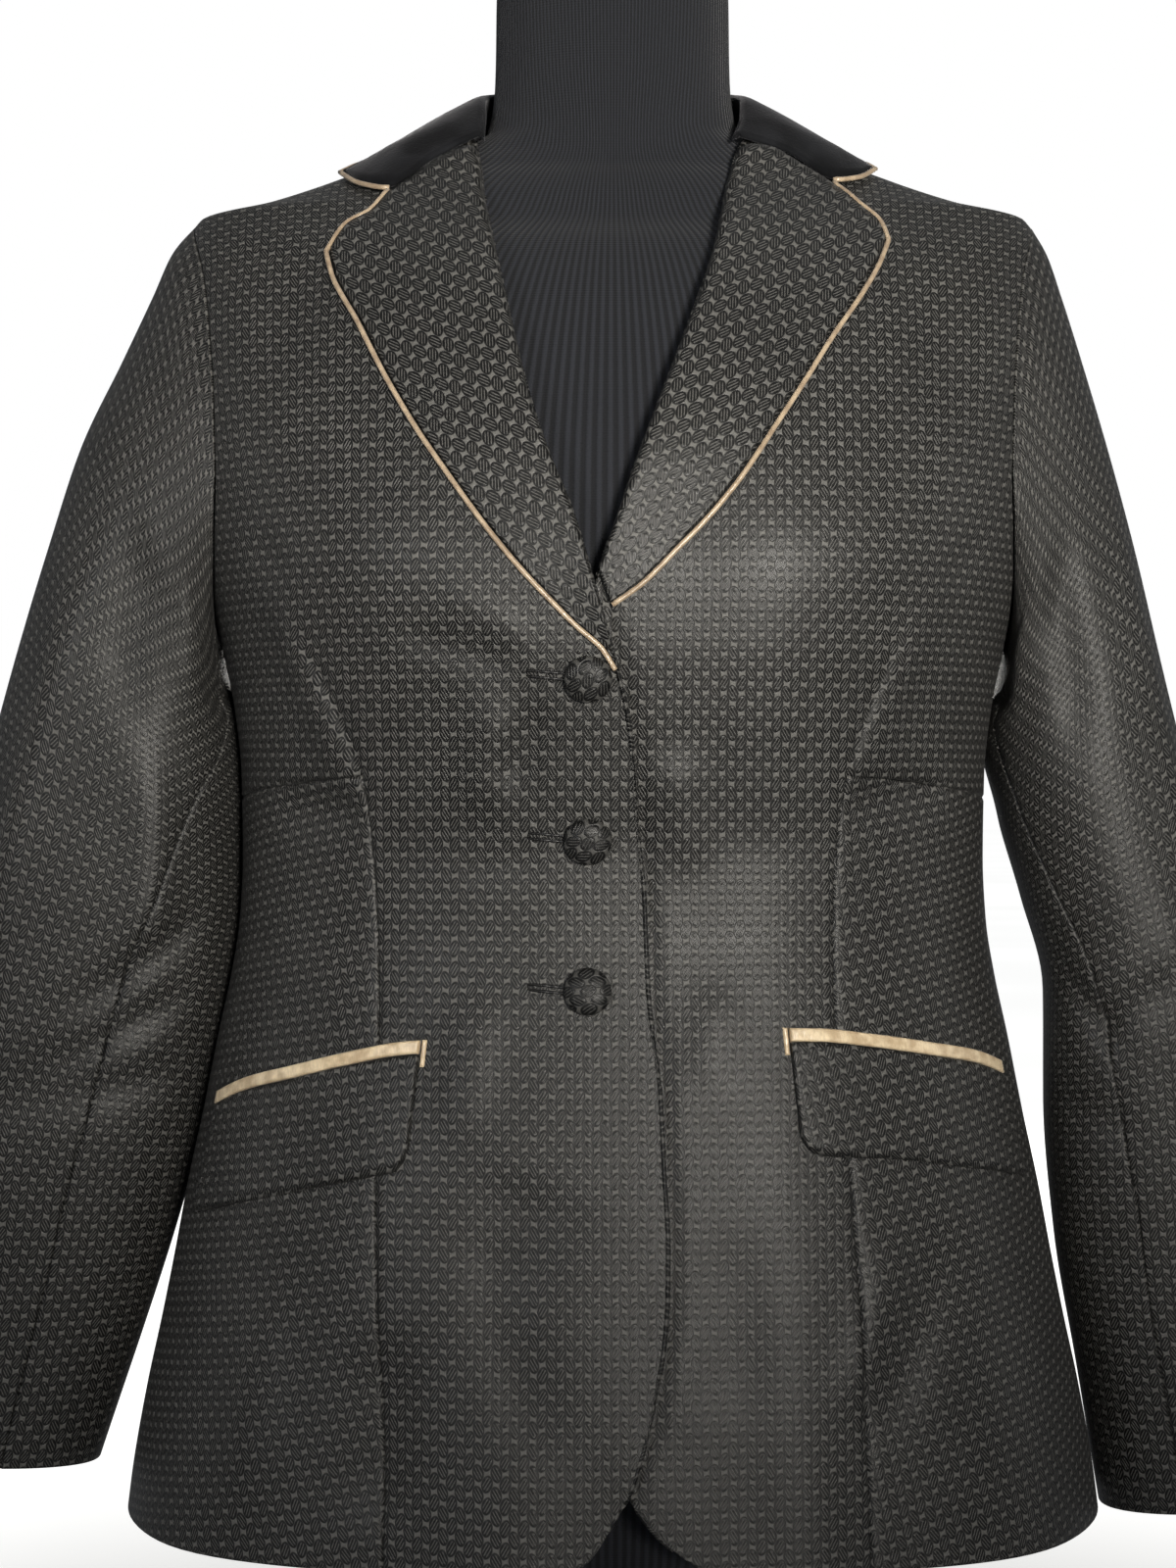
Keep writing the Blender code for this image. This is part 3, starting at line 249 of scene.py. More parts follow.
# The armhole from the underarm up to the shoulder tip, angles from the side.
ARMHOLE_COLUMNS = ("along", "z", "front_deg", "back_deg")
ARMHOLE = (
    (0.00, 0.5600, 0.0, 0.0),
    (0.10, 0.5625, 7.5, 7.5),
    (0.20, 0.5740, 14.0, 14.0),
    (0.32, 0.5970, 19.5, 20.0),
    (0.45, 0.6300, 22.0, 22.5),
    (0.58, 0.6640, 21.0, 22.0),
    (0.70, 0.6960, 18.0, 20.0),
    (0.80, 0.7200, 14.0, 16.0),
    (0.88, 0.7380, 9.5, 11.5),
    (0.94, 0.7495, 5.0, 7.0),
    (1.00, 0.7570, 0.0, 0.0),
)
# Where the back's inner line runs: under the neck point, angles from the side.
BACK_LINE_COLUMNS = ("z", "deg")
BACK_LINE = (
    (0.140, 46.0),
    (0.430, 46.0),
    (0.560, 47.0),
    (0.700, 50.0),
    (0.757, 50.0),
    (0.785, 36.0),
    (0.795, 20.0),
    (0.800, 0.0),
)

# Heights of the level lines at each key line, and the rows of faces below each.
LEVEL_COLUMNS = ("rows", "edge", "princess", "side", "back")
LEVELS = (
    (0, 0.1400, 0.1400, 0.1400, 0.1400),
    (4, 0.2350, 0.2250, 0.2250, 0.2250),
    (3, 0.3300, 0.3300, 0.3250, 0.3250),
    (3, 0.4250, 0.4250, 0.4200, 0.4250),
    (2, 0.4920, 0.4885, 0.4770, 0.4850),
    (3, 0.5740, 0.5630, 0.5600, 0.5600),
)
DART_ROW = 12
BUST_ROW = 15
TOP_FRACTIONS = (0.10, 0.20, 0.30, 0.40, 0.50, 0.60, 0.69, 0.77, 0.84, 0.90, 0.95, 0.98, 1.0)
FRONT_COLUMNS = (0.0, 0.07, 0.17, 0.31, 0.47, 0.64, 0.82, 1.0)
SIDE_COLUMNS = (0.0, 0.27, 0.54, 0.79, 1.0)
BACK_COLUMNS = (0.0, 0.18, 0.42, 0.7, 1.0)
NECK_COLUMNS = (0.0, 0.33, 0.66, 1.0)

SLEEVE_COLUMNS = (
    "section", "outer_z", "left_outer", "right_outer", "inner_z", "left_inner", "right_inner",
    "y", "half_depth", "left_seam", "right_seam", "back_seam",
)
SLEEVES = (
    (0, 0.757, 0.2005, 0.2005, 0.560, 0.1911, 0.1911, 0.000, 0.0720, 150, 150, 215),
    (1, 0.745, 0.2110, 0.2080, 0.551, 0.1900, 0.1900, 0.000, 0.0710, 152, 152, 218),
    (2, 0.722, 0.2215, 0.2160, 0.541, 0.1890, 0.1885, 0.000, 0.0690, 154, 154, 222),
    (3, 0.690, 0.2365, 0.2260, 0.529, 0.1875, 0.1865, 0.000, 0.0660, 156, 156, 226),
    (4, 0.650, 0.2555, 0.2375, 0.515, 0.1858, 0.1850, -0.001, 0.0620, 160, 160, 230),
    (5, 0.600, 0.2720, 0.2510, 0.495, 0.1840, 0.1845, -0.002, 0.0580, 152, 157, 235),
    (6, 0.545, 0.2885, 0.2640, 0.468, 0.1835, 0.1880, -0.003, 0.0540, 136, 150, 240),
    (7, 0.480, 0.3060, 0.2800, 0.430, 0.1835, 0.1985, -0.003, 0.0500, 121, 139, 245),
    (8, 0.415, 0.3215, 0.2955, 0.385, 0.1890, 0.2095, -0.002, 0.0470, 111, 125, 248),
    (9, 0.345, 0.3340, 0.3085, 0.330, 0.2005, 0.2100, 0.001, 0.0440, 107, 113, 250),
    (10, 0.280, 0.3440, 0.3180, 0.275, 0.2150, 0.2155, 0.005, 0.0410, 104, 107, 250),
    (11, 0.215, 0.3560, 0.3290, 0.215, 0.2330, 0.2275, 0.010, 0.0380, 104, 107, 250),
    (12, 0.160, 0.3680, 0.3430, 0.155, 0.2520, 0.2390, 0.013, 0.0350, 105, 107, 250),
)
RIGHT_CUFF_DROP = 0.022
CUFF_DROP_FROM = 9
SLEEVE_POWER = 2.15
HEAD_REACH = 4.5  # sections over which the armhole's shape fades into the plain sleeve

# A lapel row runs from the roll line out to the lapel's edge.
# Columns: roll_x, roll_z, edge_x, edge_z.
LEFT_LAPEL = (
    (0.0026, 0.5350, 0.0012, 0.5358),
    (0.0002, 0.5400, -0.0018, 0.5408),
    (-0.0020, 0.5460, -0.0056, 0.5460),
    (-0.0060, 0.5620, -0.0150, 0.5540),
    (-0.0110, 0.5800, -0.0270, 0.5660),
    (-0.0180, 0.6030, -0.0400, 0.5800),
    (-0.0275, 0.6280, -0.0540, 0.5975),
    (-0.0370, 0.6540, -0.0700, 0.6200),
    (-0.0430, 0.6800, -0.0860, 0.6430),
    (-0.0495, 0.7080, -0.1010, 0.6680),
    (-0.0550, 0.7340, -0.1150, 0.6950),
    (-0.0600, 0.7590, -0.1262, 0.7150),
)
RIGHT_LAPEL = (
    (-0.0072, 0.5790, -0.0022, 0.5640),
    (-0.0040, 0.5890, 0.0110, 0.5735),
    (0.0025, 0.6080, 0.0262, 0.5890),
    (0.0105, 0.6310, 0.0400, 0.6035),
    (0.0195, 0.6550, 0.0540, 0.6210),
    (0.0285, 0.6790, 0.0680, 0.6420),
    (0.0370, 0.7020, 0.0825, 0.6640),
    (0.0435, 0.7230, 0.0960, 0.6855),
    (0.0485, 0.7440, 0.1080, 0.7030),
    (0.0525, 0.7650, 0.1190, 0.7215),
)
# The top of each lapel, from the roll line along the gorge and the notch to the tip.
# Columns: left_x, left_z, right_x, right_z.
LAPEL_TOP = (
    (-0.0640, 0.7850, 0.0590, 0.7850),
    (-0.0745, 0.7825, 0.0720, 0.7845),
    (-0.0890, 0.7735, 0.0870, 0.7765),
    (-0.1040, 0.7605, 0.1020, 0.7655),
    (-0.1120, 0.7495, 0.1130, 0.7540),
    (-0.1225, 0.7425, 0.1220, 0.7437),
    (-0.1303, 0.7285, 0.1245, 0.7345),
)
LAPEL_ROLL = 0.0022  # how much higher the lapel stands near its roll line
ROLL_POWER = 1.5
ROLL_FADE = 4.0  # over a quarter of the lapel's length, from its foot
ROLL_FOOT = -0.0002  # where the roll line starts, against the front's surface
ROLL_SHARE = 0.10  # of the lapel's width, over which it rolls up
RIM_SHARE = 0.025  # of its width, over which its edge is rounded down
GORGE_END = 3  # column of the lapel's top at which the collar ends and the piping starts
# The collar's front end, from its edge at the tip back to the crease.
# Columns: left_x, left_z, right_x, right_z.
COLLAR_END = (
    (-0.1275, 0.7750, 0.1225, 0.7765),
    (-0.1180, 0.7668, 0.1140, 0.7703),
    (-0.1043, 0.7628, 0.1025, 0.7680),
    (-0.0846, 0.7786, 0.0820, 0.7822),
    (-0.0645, 0.7896, 0.0600, 0.7896),
)
# The rest of half the collar: its outer edge on the body, its crease, and its seam at the neck.
# Columns: edge_deg, edge_z, crease_x, crease_y, crease_z, seam_x, seam_y, seam_z.
COLLAR = (
    (-4.5, 0.7815, 0.0660, -0.0200, 0.8060, 0.0672, -0.0200, 0.8000),
    (6.0, 0.7815, 0.0670, 0.0000, 0.8180, 0.0705, 0.0000, 0.8016),
    (20.0, 0.7800, 0.0615, 0.0225, 0.8245, 0.0645, 0.0235, 0.8016),
    (38.0, 0.7800, 0.0490, 0.0370, 0.8285, 0.0512, 0.0400, 0.8016),
    (60.0, 0.7820, 0.0285, 0.0475, 0.8310, 0.0302, 0.0522, 0.8016),
    (90.0, 0.7840, 0.0000, 0.0520, 0.8320, 0.0000, 0.0576, 0.8016),
)
COLLAR_LIFT = 0.0046  # of the collar's edge above the body
COLLAR_BULGE = 0.0030
BULGE_UP = 0.85
BULGE_OUT = 0.5
FALL_SHARES = (0.0, 0.25, 0.5, 0.75, 1.0)  # from the edge to the crease
STAND_SETBACK = 0.0056
SETBACK_SHARE = 0.45  # at the point just over the crease
CREASE_RISE = 0.0006
CREASE_DROP = 0.0012
COLLAR_TIMES = 6
COLLAR_PIPED = 12  # fine points of the collar's ends that the piping follows
END_SEAM = (0.0048, 0.0022, -0.0030)  # from the crease's front end in, back and down

# Each pocket from its front end to the side, angles from the side of the body.
POCKET_COLUMNS = (
    "along", "left_deg", "left_top", "left_bottom", "right_deg", "right_top", "right_bottom",
)
POCKETS = (
    (0.00, 54.3, 0.3713, 0.3240, 57.5, 0.3768, 0.3290),
    (0.10, 52.6, 0.3709, 0.3138, 55.8, 0.3767, 0.3222),
    (0.20, 49.5, 0.3697, 0.3112, 52.0, 0.3763, 0.3198),
    (0.40, 42.0, 0.3648, 0.3060, 43.0, 0.3730, 0.3178),
    (0.60, 33.0, 0.3576, 0.2988, 33.0, 0.3679, 0.3125),
    (0.80, 25.0, 0.3510, 0.2922, 25.0, 0.3632, 0.3080),
    (1.00, 16.5, 0.3412, 0.2850, 17.5, 0.3558, 0.3030),
)
# Each button's height on the front edge, and how far its back stands off the surface.
# Columns: z, lie.
BUTTONS = (
    (0.5312, 0.0002),
    (0.4600, 0.0009),
    (0.3930, 0.0005),
)

# Soft creases of the body: a line from one place to another, a ridge where out is above 0.
# Columns: face, x0, z0, x1, z1, width, out.
CREASES = (
    ("front", -0.160, 0.474, -0.108, 0.473, 0.0100, -0.0046),
    ("front", -0.154, 0.582, -0.112, 0.466, 0.0105, 0.0033),
    ("front", -0.142, 0.566, -0.104, 0.464, 0.0042, -0.0020),
    ("front", 0.096, 0.476, 0.155, 0.482, 0.0100, -0.0048),
    ("front", 0.102, 0.466, 0.140, 0.586, 0.0115, 0.0026),
    ("front", 0.095, 0.466, 0.129, 0.570, 0.0046, -0.0014),
    ("front", -0.036, 0.534, -0.100, 0.553, 0.0070, -0.0025),
    ("front", -0.034, 0.546, -0.078, 0.572, 0.0065, 0.0014),
    ("front", -0.030, 0.524, -0.050, 0.476, 0.0085, -0.0022),
    ("front", -0.052, 0.530, -0.061, 0.465, 0.0100, 0.0032),
    ("front", -0.060, 0.400, -0.071, 0.320, 0.0110, 0.0026),
    ("front", -0.028, 0.452, -0.075, 0.446, 0.0060, -0.0012),
    ("front", 0.022, 0.505, 0.037, 0.440, 0.0120, 0.0029),
    ("front", 0.046, 0.400, 0.040, 0.345, 0.0120, 0.0020),
    ("front", 0.018, 0.275, 0.020, 0.165, 0.0150, -0.0016),
    ("front", 0.052, 0.300, 0.047, 0.200, 0.0200, -0.0016),
    ("front", -0.034, 0.318, -0.060, 0.258, 0.0240, -0.0034),
    ("front", 0.030, 0.262, 0.004, 0.165, 0.0160, 0.0012),
    ("front", -0.060, 0.290, -0.030, 0.180, 0.0160, -0.0032),
    ("front", -0.100, 0.250, -0.112, 0.150, 0.0140, -0.0038),
    ("front", -0.155, 0.270, -0.165, 0.150, 0.0120, 0.0035),
    ("front", 0.155, 0.300, 0.112, 0.190, 0.0110, -0.0038),
    ("front", 0.128, 0.290, 0.104, 0.200, 0.0110, 0.0026),
    ("front", -0.135, 0.735, -0.150, 0.640, 0.0130, -0.0017),
    ("front", 0.138, 0.730, 0.148, 0.640, 0.0130, -0.0017),
    ("front", -0.165, 0.600, -0.140, 0.575, 0.0080, -0.0014),
    ("front", 0.170, 0.600, 0.142, 0.572, 0.0080, -0.0014),
    ("back", -0.120, 0.470, -0.030, 0.452, 0.0075, -0.0029),
    ("back", -0.105, 0.438, -0.020, 0.430, 0.0070, -0.0020),
    ("back", 0.115, 0.464, 0.035, 0.448, 0.0075, -0.0026),
    ("back", 0.095, 0.434, 0.022, 0.428, 0.0070, -0.0022),
    ("back", -0.130, 0.690, -0.090, 0.560, 0.0140, -0.0023),
    ("back", 0.132, 0.685, 0.094, 0.565, 0.0140, -0.0023),
    ("back", -0.070, 0.290, -0.078, 0.150, 0.0150, -0.0032),
    ("back", 0.062, 0.300, 0.074, 0.150, 0.0150, -0.0032),
)
# Soft creases of a sleeve, between two places given as a turn in degrees and a section.
# Columns: side, turn0, at0, turn1, at1, width, out.
SLEEVE_CREASES = (
    ("left", 60, 4.2, 55, 9.0, 0.0110, 0.0041),
    ("left", 88, 3.2, 92, 6.0, 0.0120, -0.0046),
    ("left", 122, 2.6, 128, 5.0, 0.0090, 0.0035),
    ("left", 112, 5.6, 118, 8.3, 0.0100, 0.0041),
    ("left", 150, 7.1, 84, 8.6, 0.0060, -0.0035),
    ("left", 150, 7.9, 70, 9.05, 0.0055, -0.0032),
    ("left", 160, 8.6, 60, 9.2, 0.0060, -0.0024),
    ("left", 95, 10.3, 40, 10.8, 0.0075, -0.0019),
    ("left", 170, 3.0, 140, 4.4, 0.0080, -0.0030),
    ("left", 215, 4.0, 265, 6.2, 0.0120, -0.0032),
    ("left", 200, 7.6, 262, 8.3, 0.0070, -0.0030),
    ("left", 205, 8.3, 280, 8.9, 0.0070, -0.0027),
    ("left", 255, 9.8, 320, 10.6, 0.0100, -0.0019),
    ("right", 52, 3.6, 48, 9.2, 0.0110, 0.0038),
    ("right", 100, 3.0, 98, 6.4, 0.0120, -0.0043),
    ("right", 128, 2.4, 134, 4.8, 0.0090, 0.0032),
    ("right", 74, 7.2, 66, 10.2, 0.0120, 0.0027),
    ("right", 160, 7.7, 100, 8.7, 0.0060, -0.0038),
    ("right", 150, 8.5, 60, 8.1, 0.0065, -0.0027),
    ("right", 165, 8.9, 95, 9.25, 0.0060, -0.0027),
    ("right", 172, 3.2, 142, 4.2, 0.0080, -0.0030),
    ("right", 212, 4.2, 262, 6.0, 0.0120, -0.0032),
    ("right", 198, 7.7, 264, 8.2, 0.0070, -0.0030),
    ("right", 206, 8.5, 276, 9.1, 0.0070, -0.0024),
    ("right", 250, 9.9, 318, 10.5, 0.0100, -0.0019),
)
# Where a sleeve's inner side swells towards the body: the section, its reach and how far.
PRESS_TURN = 180.0
PRESS_WIDTH_DEG = 38.0
# Columns: side, at, reach, out.
PRESSED = (
    ("left", 5.6, 2.6, 0.0050),
    ("left", 3.9, 1.0, 0.0028),
    ("left", 9.6, 1.8, 0.0036),
    ("right", 4.3, 1.0, 0.0062),
)
# How far each panel's grain is turned, anticlockwise as seen, in degrees.
GRAIN = {
    "front_left": 0.0, "front_right": 0.0,
    "side_front_left": -9.0, "side_front_right": 9.0,
    "back_left": 0.0, "back_right": 0.0,
    "lapel_left": 33.0, "lapel_right": -33.0,
    "flap_left": -9.0, "flap_right": 9.0,
}

ROW_TIMES = 6
COLUMN_TIMES = 6
SLEEVE_TIMES = 9
NEAR_SEAM = 0.06  # of a coarse face: the first fine line beside a seam
SLEEVE_FACES = {"top": 60, "under": 36}
NEAR_SLEEVE_SEAM = 0.3  # of a fine face
FIRST_SECTION = 0.02  # the first fine line beside the armhole
CREASE_FREE = 1.2  # sections over which a sleeve's creases fade in
CREASE_TAPER = 0.35  # share of a crease over which each end fades
CREASE_REACH = 0.2  # round the body, beyond which a crease adds nothing
SECTION_LENGTH = 0.050  # of cloth along the sleeve
SLEEVE_RADIUS = 0.050
LENGTH_TURN = 60.0  # where a sleeve's length of cloth is measured
NORMAL_STEP_DEG = 1.0


def finer(count, times, seams=()):
    """Places in a coarse grid's index: times to a face, and one more on each side of a seam."""
    even = np.linspace(0, count, count * times + 1)
    near = [seam + step for seam in seams for step in (-NEAR_SEAM, NEAR_SEAM)]
    near = [place for place in near if 0 < place < count]
    return np.unique(np.round(np.concatenate([even, near]), 6))


def at(values, places):
    return np.interp(places, np.arange(len(values)), values)


LEVEL_ROWS = sum(row[0] for row in LEVELS)
ROW_PLACES = finer(LEVEL_ROWS + len(TOP_FRACTIONS), ROW_TIMES, (0, DART_ROW))
TOP_PLACES = at((0.0, *TOP_FRACTIONS), ROW_PLACES[ROW_PLACES > LEVEL_ROWS] - LEVEL_ROWS)


def steady_slopes(at, values):
    """Slopes at the table's rows that keep the curve from overshooting."""
    step = np.diff(at)
    rise = np.diff(values) / step
    slopes = np.zeros(len(at))
    for i in range(1, len(at) - 1):
        if rise[i - 1] * rise[i] > 0:
            first = 2 * step[i] + step[i - 1]
            second = step[i] + 2 * step[i - 1]
            slopes[i] = (first + second) / (first / rise[i - 1] + second / rise[i])
    slopes[0] = rise[0]
    slopes[-1] = rise[-1]
    return slopes


def curve_of(table, columns, name):
    """A smooth function of the table's first column."""
    at = np.array([row[0] for row in table])
    values = np.array([row[columns.index(name)] for row in table])
    slopes = steady_slopes(at, values)
    steps = np.diff(at)

    def curve(x):
        x = np.clip(x, at[0], at[-1])
        k = np.clip(np.searchsorted(at, x, side="right") - 1, 0, len(at) - 2)
        t = (x - at[k]) / steps[k]
        start = (1 + 2 * t) * (1 - t) ** 2 * values[k] + t * (1 - t) ** 2 * steps[k] * slopes[k]
        end = t * t * (3 - 2 * t) * values[k + 1] + t * t * (t - 1) * steps[k] * slopes[k + 1]
        return start + end

    return curve


def curves_of(table, columns):
    return {name: curve_of(table, columns, name) for name in columns[1:]}


BODY = curves_of(BODY_RINGS, RING_COLUMNS)
FORM = curves_of(FORM_RINGS, RING_COLUMNS)
SEAM = curves_of(PRINCESS, PRINCESS_COLUMNS)
ARMHOLE_CURVES = curves_of(ARMHOLE, ARMHOLE_COLUMNS)
SLEEVE = curves_of(SLEEVES, SLEEVE_COLUMNS)
POCKET = curves_of(POCKETS, POCKET_COLUMNS)


def smooth(t):
    t = np.clip(t, 0.0, 1.0)
    return t * t * (3 - 2 * t)


def rounded_up(t):
    """From 0 to 1 as a quarter of a circle rises."""
    t = np.clip(t, 0.0, 1.0)
    return np.sqrt(1 - (1 - t) ** 2)


def ring_radius(curves, angle, z):
    depth = np.where(np.sin(angle) < 0, curves["front"](z), curves["back"](z))
    power = curves["power"](z)
    side = np.abs(np.cos(angle) / curves["half_width"](z)) ** power
    face = np.abs(np.sin(angle) / depth) ** power
    return (side + face) ** (-1 / power)


def half_turn(deg):
    """The same direction between -180 and 180 degrees."""
    return (deg + 180.0) % 360.0 - 180.0


def angle_between(a, b):
    return half_turn(np.degrees(a) - b)


def shaping(angle, z):
    """The bust and the skirt's flutes, as a distance out from the plain rings."""
    out = np.zeros(np.broadcast(angle, z).shape)
    hem = BODY_RINGS[0][0]
    for deg, width, depth, top in FLUTES:
        fade = smooth((top - z) / (top - hem))
        out = out + depth * fade * np.exp(-((angle_between(angle, deg) / width) ** 2))
    for deg in (-BUST_DEG, BUST_DEG - 180.0):
        near = (angle_between(angle, deg) / BUST_WIDTH_DEG) ** 2 + ((z - BUST_Z) / BUST_HEIGHT) ** 2
        out = out + BUST_OUT * np.exp(-near)
    return out


def body_point(angle, z):
    radius = ring_radius(BODY, angle, z) + shaping(angle, z)
    return np.stack([radius * np.cos(angle), radius * np.sin(angle), z + 0 * radius], axis=-1)


def body_normal(angle, z):
    step = 1e-3
    around = body_point(angle + step, z) - body_point(angle - step, z)
    low = np.maximum(z - step, BODY_RINGS[0][0])
    high = np.minimum(z + step, BODY_RINGS[-1][0])
    upward = body_point(angle, high) - body_point(angle, low)
    normal = np.cross(around, upward)
    return normal / np.linalg.norm(normal, axis=-1, keepdims=True)


def lay(angle, z, out):
    """The body's surface moved out along its normal."""
    return body_point(angle, z) + body_normal(angle, z) * np.asarray(out)[..., None]


def front_angle(x, z):
    """The angle on the front of ring z at which the ring is at x."""
    share = np.clip(np.abs(x) / BODY["half_width"](z), 0.0, 1.0)
    power = BODY["power"](z)
    y = -BODY["front"](z) * (1 - share**power) ** (1 / power)
    return np.arctan2(y, x)


def lap_drop(x, z):
    """How far the right front lies below the surface, where the left one laps over it."""
    return LAP_DROP * smooth((LAP_END_X - x) / LAP_FADE_X) * smooth((LAP_END_Z - z) / LAP_FADE_Z)


def unit(v):
    return v / np.maximum(np.linalg.norm(v, axis=-1, keepdims=True), 1e-12)


def grid_normals(points):
    """Normals of a grid of points, by differences along its two directions."""
    return unit(np.cross(np.gradient(points, axis=0), np.gradient(points, axis=1)))


def lengths_along(points, axis=0):
    """How far each point is from the first one, along its line of the grid."""
    steps = np.linalg.norm(np.diff(points, axis=axis), axis=-1)
    return np.insert(np.cumsum(steps, axis=axis), 0, 0.0, axis=axis)


def level_heights(name):
    """Heights of every row up to the bust, at one key line."""
    column = LEVEL_COLUMNS.index(name)
    heights = [LEVELS[0][column]]
    for row in LEVELS[1:]:
        start = heights[-1]
        steps = row[0]
        end = row[column]
        heights.extend(start + (end - start) * k / steps for k in range(1, steps + 1))
    return heights


def line_heights(name, top):
    coarse = level_heights(name)
    low = at(coarse, ROW_PLACES[ROW_PLACES <= LEVEL_ROWS])
    return np.concatenate([low, coarse[-1] + (top - coarse[-1]) * TOP_PLACES])


def armhole_line(deg_name):
    """(angle from the side, height) of every row at the side line, which opens into the armhole."""
    low = at(level_heights("side"), ROW_PLACES[ROW_PLACES <= LEVEL_ROWS])
    z = ARMHOLE_CURVES["z"](TOP_PLACES)
    deg = ARMHOLE_CURVES[deg_name](TOP_PLACES)
    return np.radians(np.concatenate([0 * low, deg])), np.concatenate([low, z])


def column_shares(table, seams):
    """A table of the columns' shares, on the finer grid."""
    return at(table, finer(len(table) - 1, COLUMN_TIMES, seams))


FRONT_SHARES = column_shares(FRONT_COLUMNS, (0, 7))
SIDE_SHARES = column_shares(SIDE_COLUMNS, (0, 4))[1:]
BACK_SHARES = column_shares(BACK_COLUMNS, (0,))
NECK_SHARES = column_shares(NECK_COLUMNS, (3,))[1:]
PRINCESS_COLUMN = len(FRONT_SHARES) - 1


def raised(z, foot_z, top):
    """A column's heights with its foot moved to foot_z, fading out at the height top."""
    share = np.clip((top - z) / (top - z[0]), 0.0, 1.0)
    return z + (foot_z - z[0]) * share


def front_grid(left):
    """Angles and heights of one front, columns from its front edge to the side line."""
    edge_x = curve_of(OVER_EDGE if left else UNDER_EDGE, EDGE_COLUMNS, "x")
    hem_z = curve_of(OVER_HEM if left else UNDER_HEM, HEM_COLUMNS, "z")
    corner_x, corner_z = OVER_HEM[-1] if left else UNDER_HEM[0]
    side = "left_x" if left else "right_x"
    sign = -1.0 if left else 1.0
    foot_rows, cutaway_top = LEVELS[1][:2]
    seam_foot = sign * PRINCESS[0][PRINCESS_COLUMNS.index(side)]
    edge_z = raised(line_heights("edge", NECK_Z), corner_z, cutaway_top)
    princess_z = line_heights("princess", PRINCESS_TOP_Z)
    edge_angle = front_angle(edge_x(edge_z), edge_z)
    princess_angle = front_angle(sign * SEAM[side](princess_z), princess_z)
    if left:
        edge_angle = np.where(edge_angle > 0, edge_angle - 2 * math.pi, edge_angle)
        princess_angle = np.where(princess_angle > 0, princess_angle - 2 * math.pi, princess_angle)
    columns = []
    for share in FRONT_SHARES:
        z = edge_z + (princess_z - edge_z) * share
        angle = edge_angle + (princess_angle - edge_angle) * share
        foot_x = corner_x + (seam_foot - corner_x) * share
        foot_z = float(hem_z(foot_x))
        z = raised(z, foot_z, cutaway_top)
        if share > 0:
            blend = np.clip(1 - ROW_PLACES / foot_rows, 0, 1)
            angle = angle + (float(front_angle(foot_x, foot_z)) - angle[0]) * blend
        columns.append((angle, z))
    side_deg, side_z = armhole_line("front_deg")
    side_angle = -math.pi + side_deg if left else -side_deg
    last_angle, last_z = columns[-1]
    for share in SIDE_SHARES:
        angle = last_angle + (side_angle - last_angle) * share
        columns.append((angle, last_z + (side_z - last_z) * share))
    return np.array(columns).transpose(1, 0, 2)


def back_grid(left):
    """Angles and heights of one back, columns from the side line to the centre back."""
    side_deg, side_z = armhole_line("back_deg")
    line_z = line_heights("back", NECK_Z)
    line_deg = np.radians(curve_of(BACK_LINE, BACK_LINE_COLUMNS, "deg")(line_z))
    columns = []
    for share in BACK_SHARES:
        angle = side_deg + (line_deg - side_deg) * share
        columns.append((angle, side_z + (line_z - side_z) * share))
    for share in NECK_SHARES:
        columns.append((line_deg + (math.pi / 2 - line_deg) * share, line_z))
    angle, z = np.array(columns).transpose(1, 0, 2)
    return (math.pi - angle if left else angle), z


def armhole_point(turn, sign):
    """The armhole at a turn in degrees: 0 the shoulder tip, 90 the front, 180 the underarm."""
    turn = np.asarray(turn) % 360.0
    front = turn <= 180.0
    along = np.where(front, 1 - turn / 180.0, turn / 180.0 - 1)
    z, front_deg, back_deg = (ARMHOLE_CURVES[name](along) for name in ARMHOLE_COLUMNS[1:])
    points = body_point(np.radians(np.where(front, -front_deg, back_deg)), z)
    points[..., 0] *= sign
    return points


def sleeve_values(at, sign):
    """(centre, half of the ring's slanting width, half depth) of the sleeve at a section."""
    name = "left" if sign < 0 else "right"
    read = {key: float(curve(at)) for key, curve in SLEEVE.items()}
    cuff = max(0.0, (at - CUFF_DROP_FROM) / (len(SLEEVES) - 1 - CUFF_DROP_FROM))
    drop = RIGHT_CUFF_DROP * cuff if sign > 0 else 0.0
    outer, inner = (
        np.array([sign * read[f"{name}_{end}"], read["y"], read[f"{end}_z"] - drop])
        for end in ("outer", "inner")
    )
    return (outer + inner) / 2, (outer - inner) / 2, read["half_depth"]


def rounded(turn, power):
    """Cosine and sine of a turn on a superellipse."""
    c = np.cos(turn)
    s = np.sin(turn)
    return np.sign(c) * np.abs(c) ** (2 / power), np.sign(s) * np.abs(s) ** (2 / power)


def plain_ring(at, turns, sign):
    centre, across, depth = sleeve_values(at, sign)
    c, s = rounded(np.radians(turns), SLEEVE_POWER)
    return centre + across * c[:, None] + np.array([0.0, -depth, 0.0]) * s[:, None]


def sleeve_ring(at, turns, sign):
    """The sleeve's ring, which takes the armhole's shape at its head."""
    ring = plain_ring(at, turns, sign)
    if at < HEAD_REACH:
        change = armhole_point(turns, sign) - plain_ring(0.0, turns, sign)
        ring = ring + change * (1 - smooth(at / HEAD_REACH))
    ring[:, 0] += sign * ARMHOLE_GAP * max(0.0, 1.0 - at)
    return ring


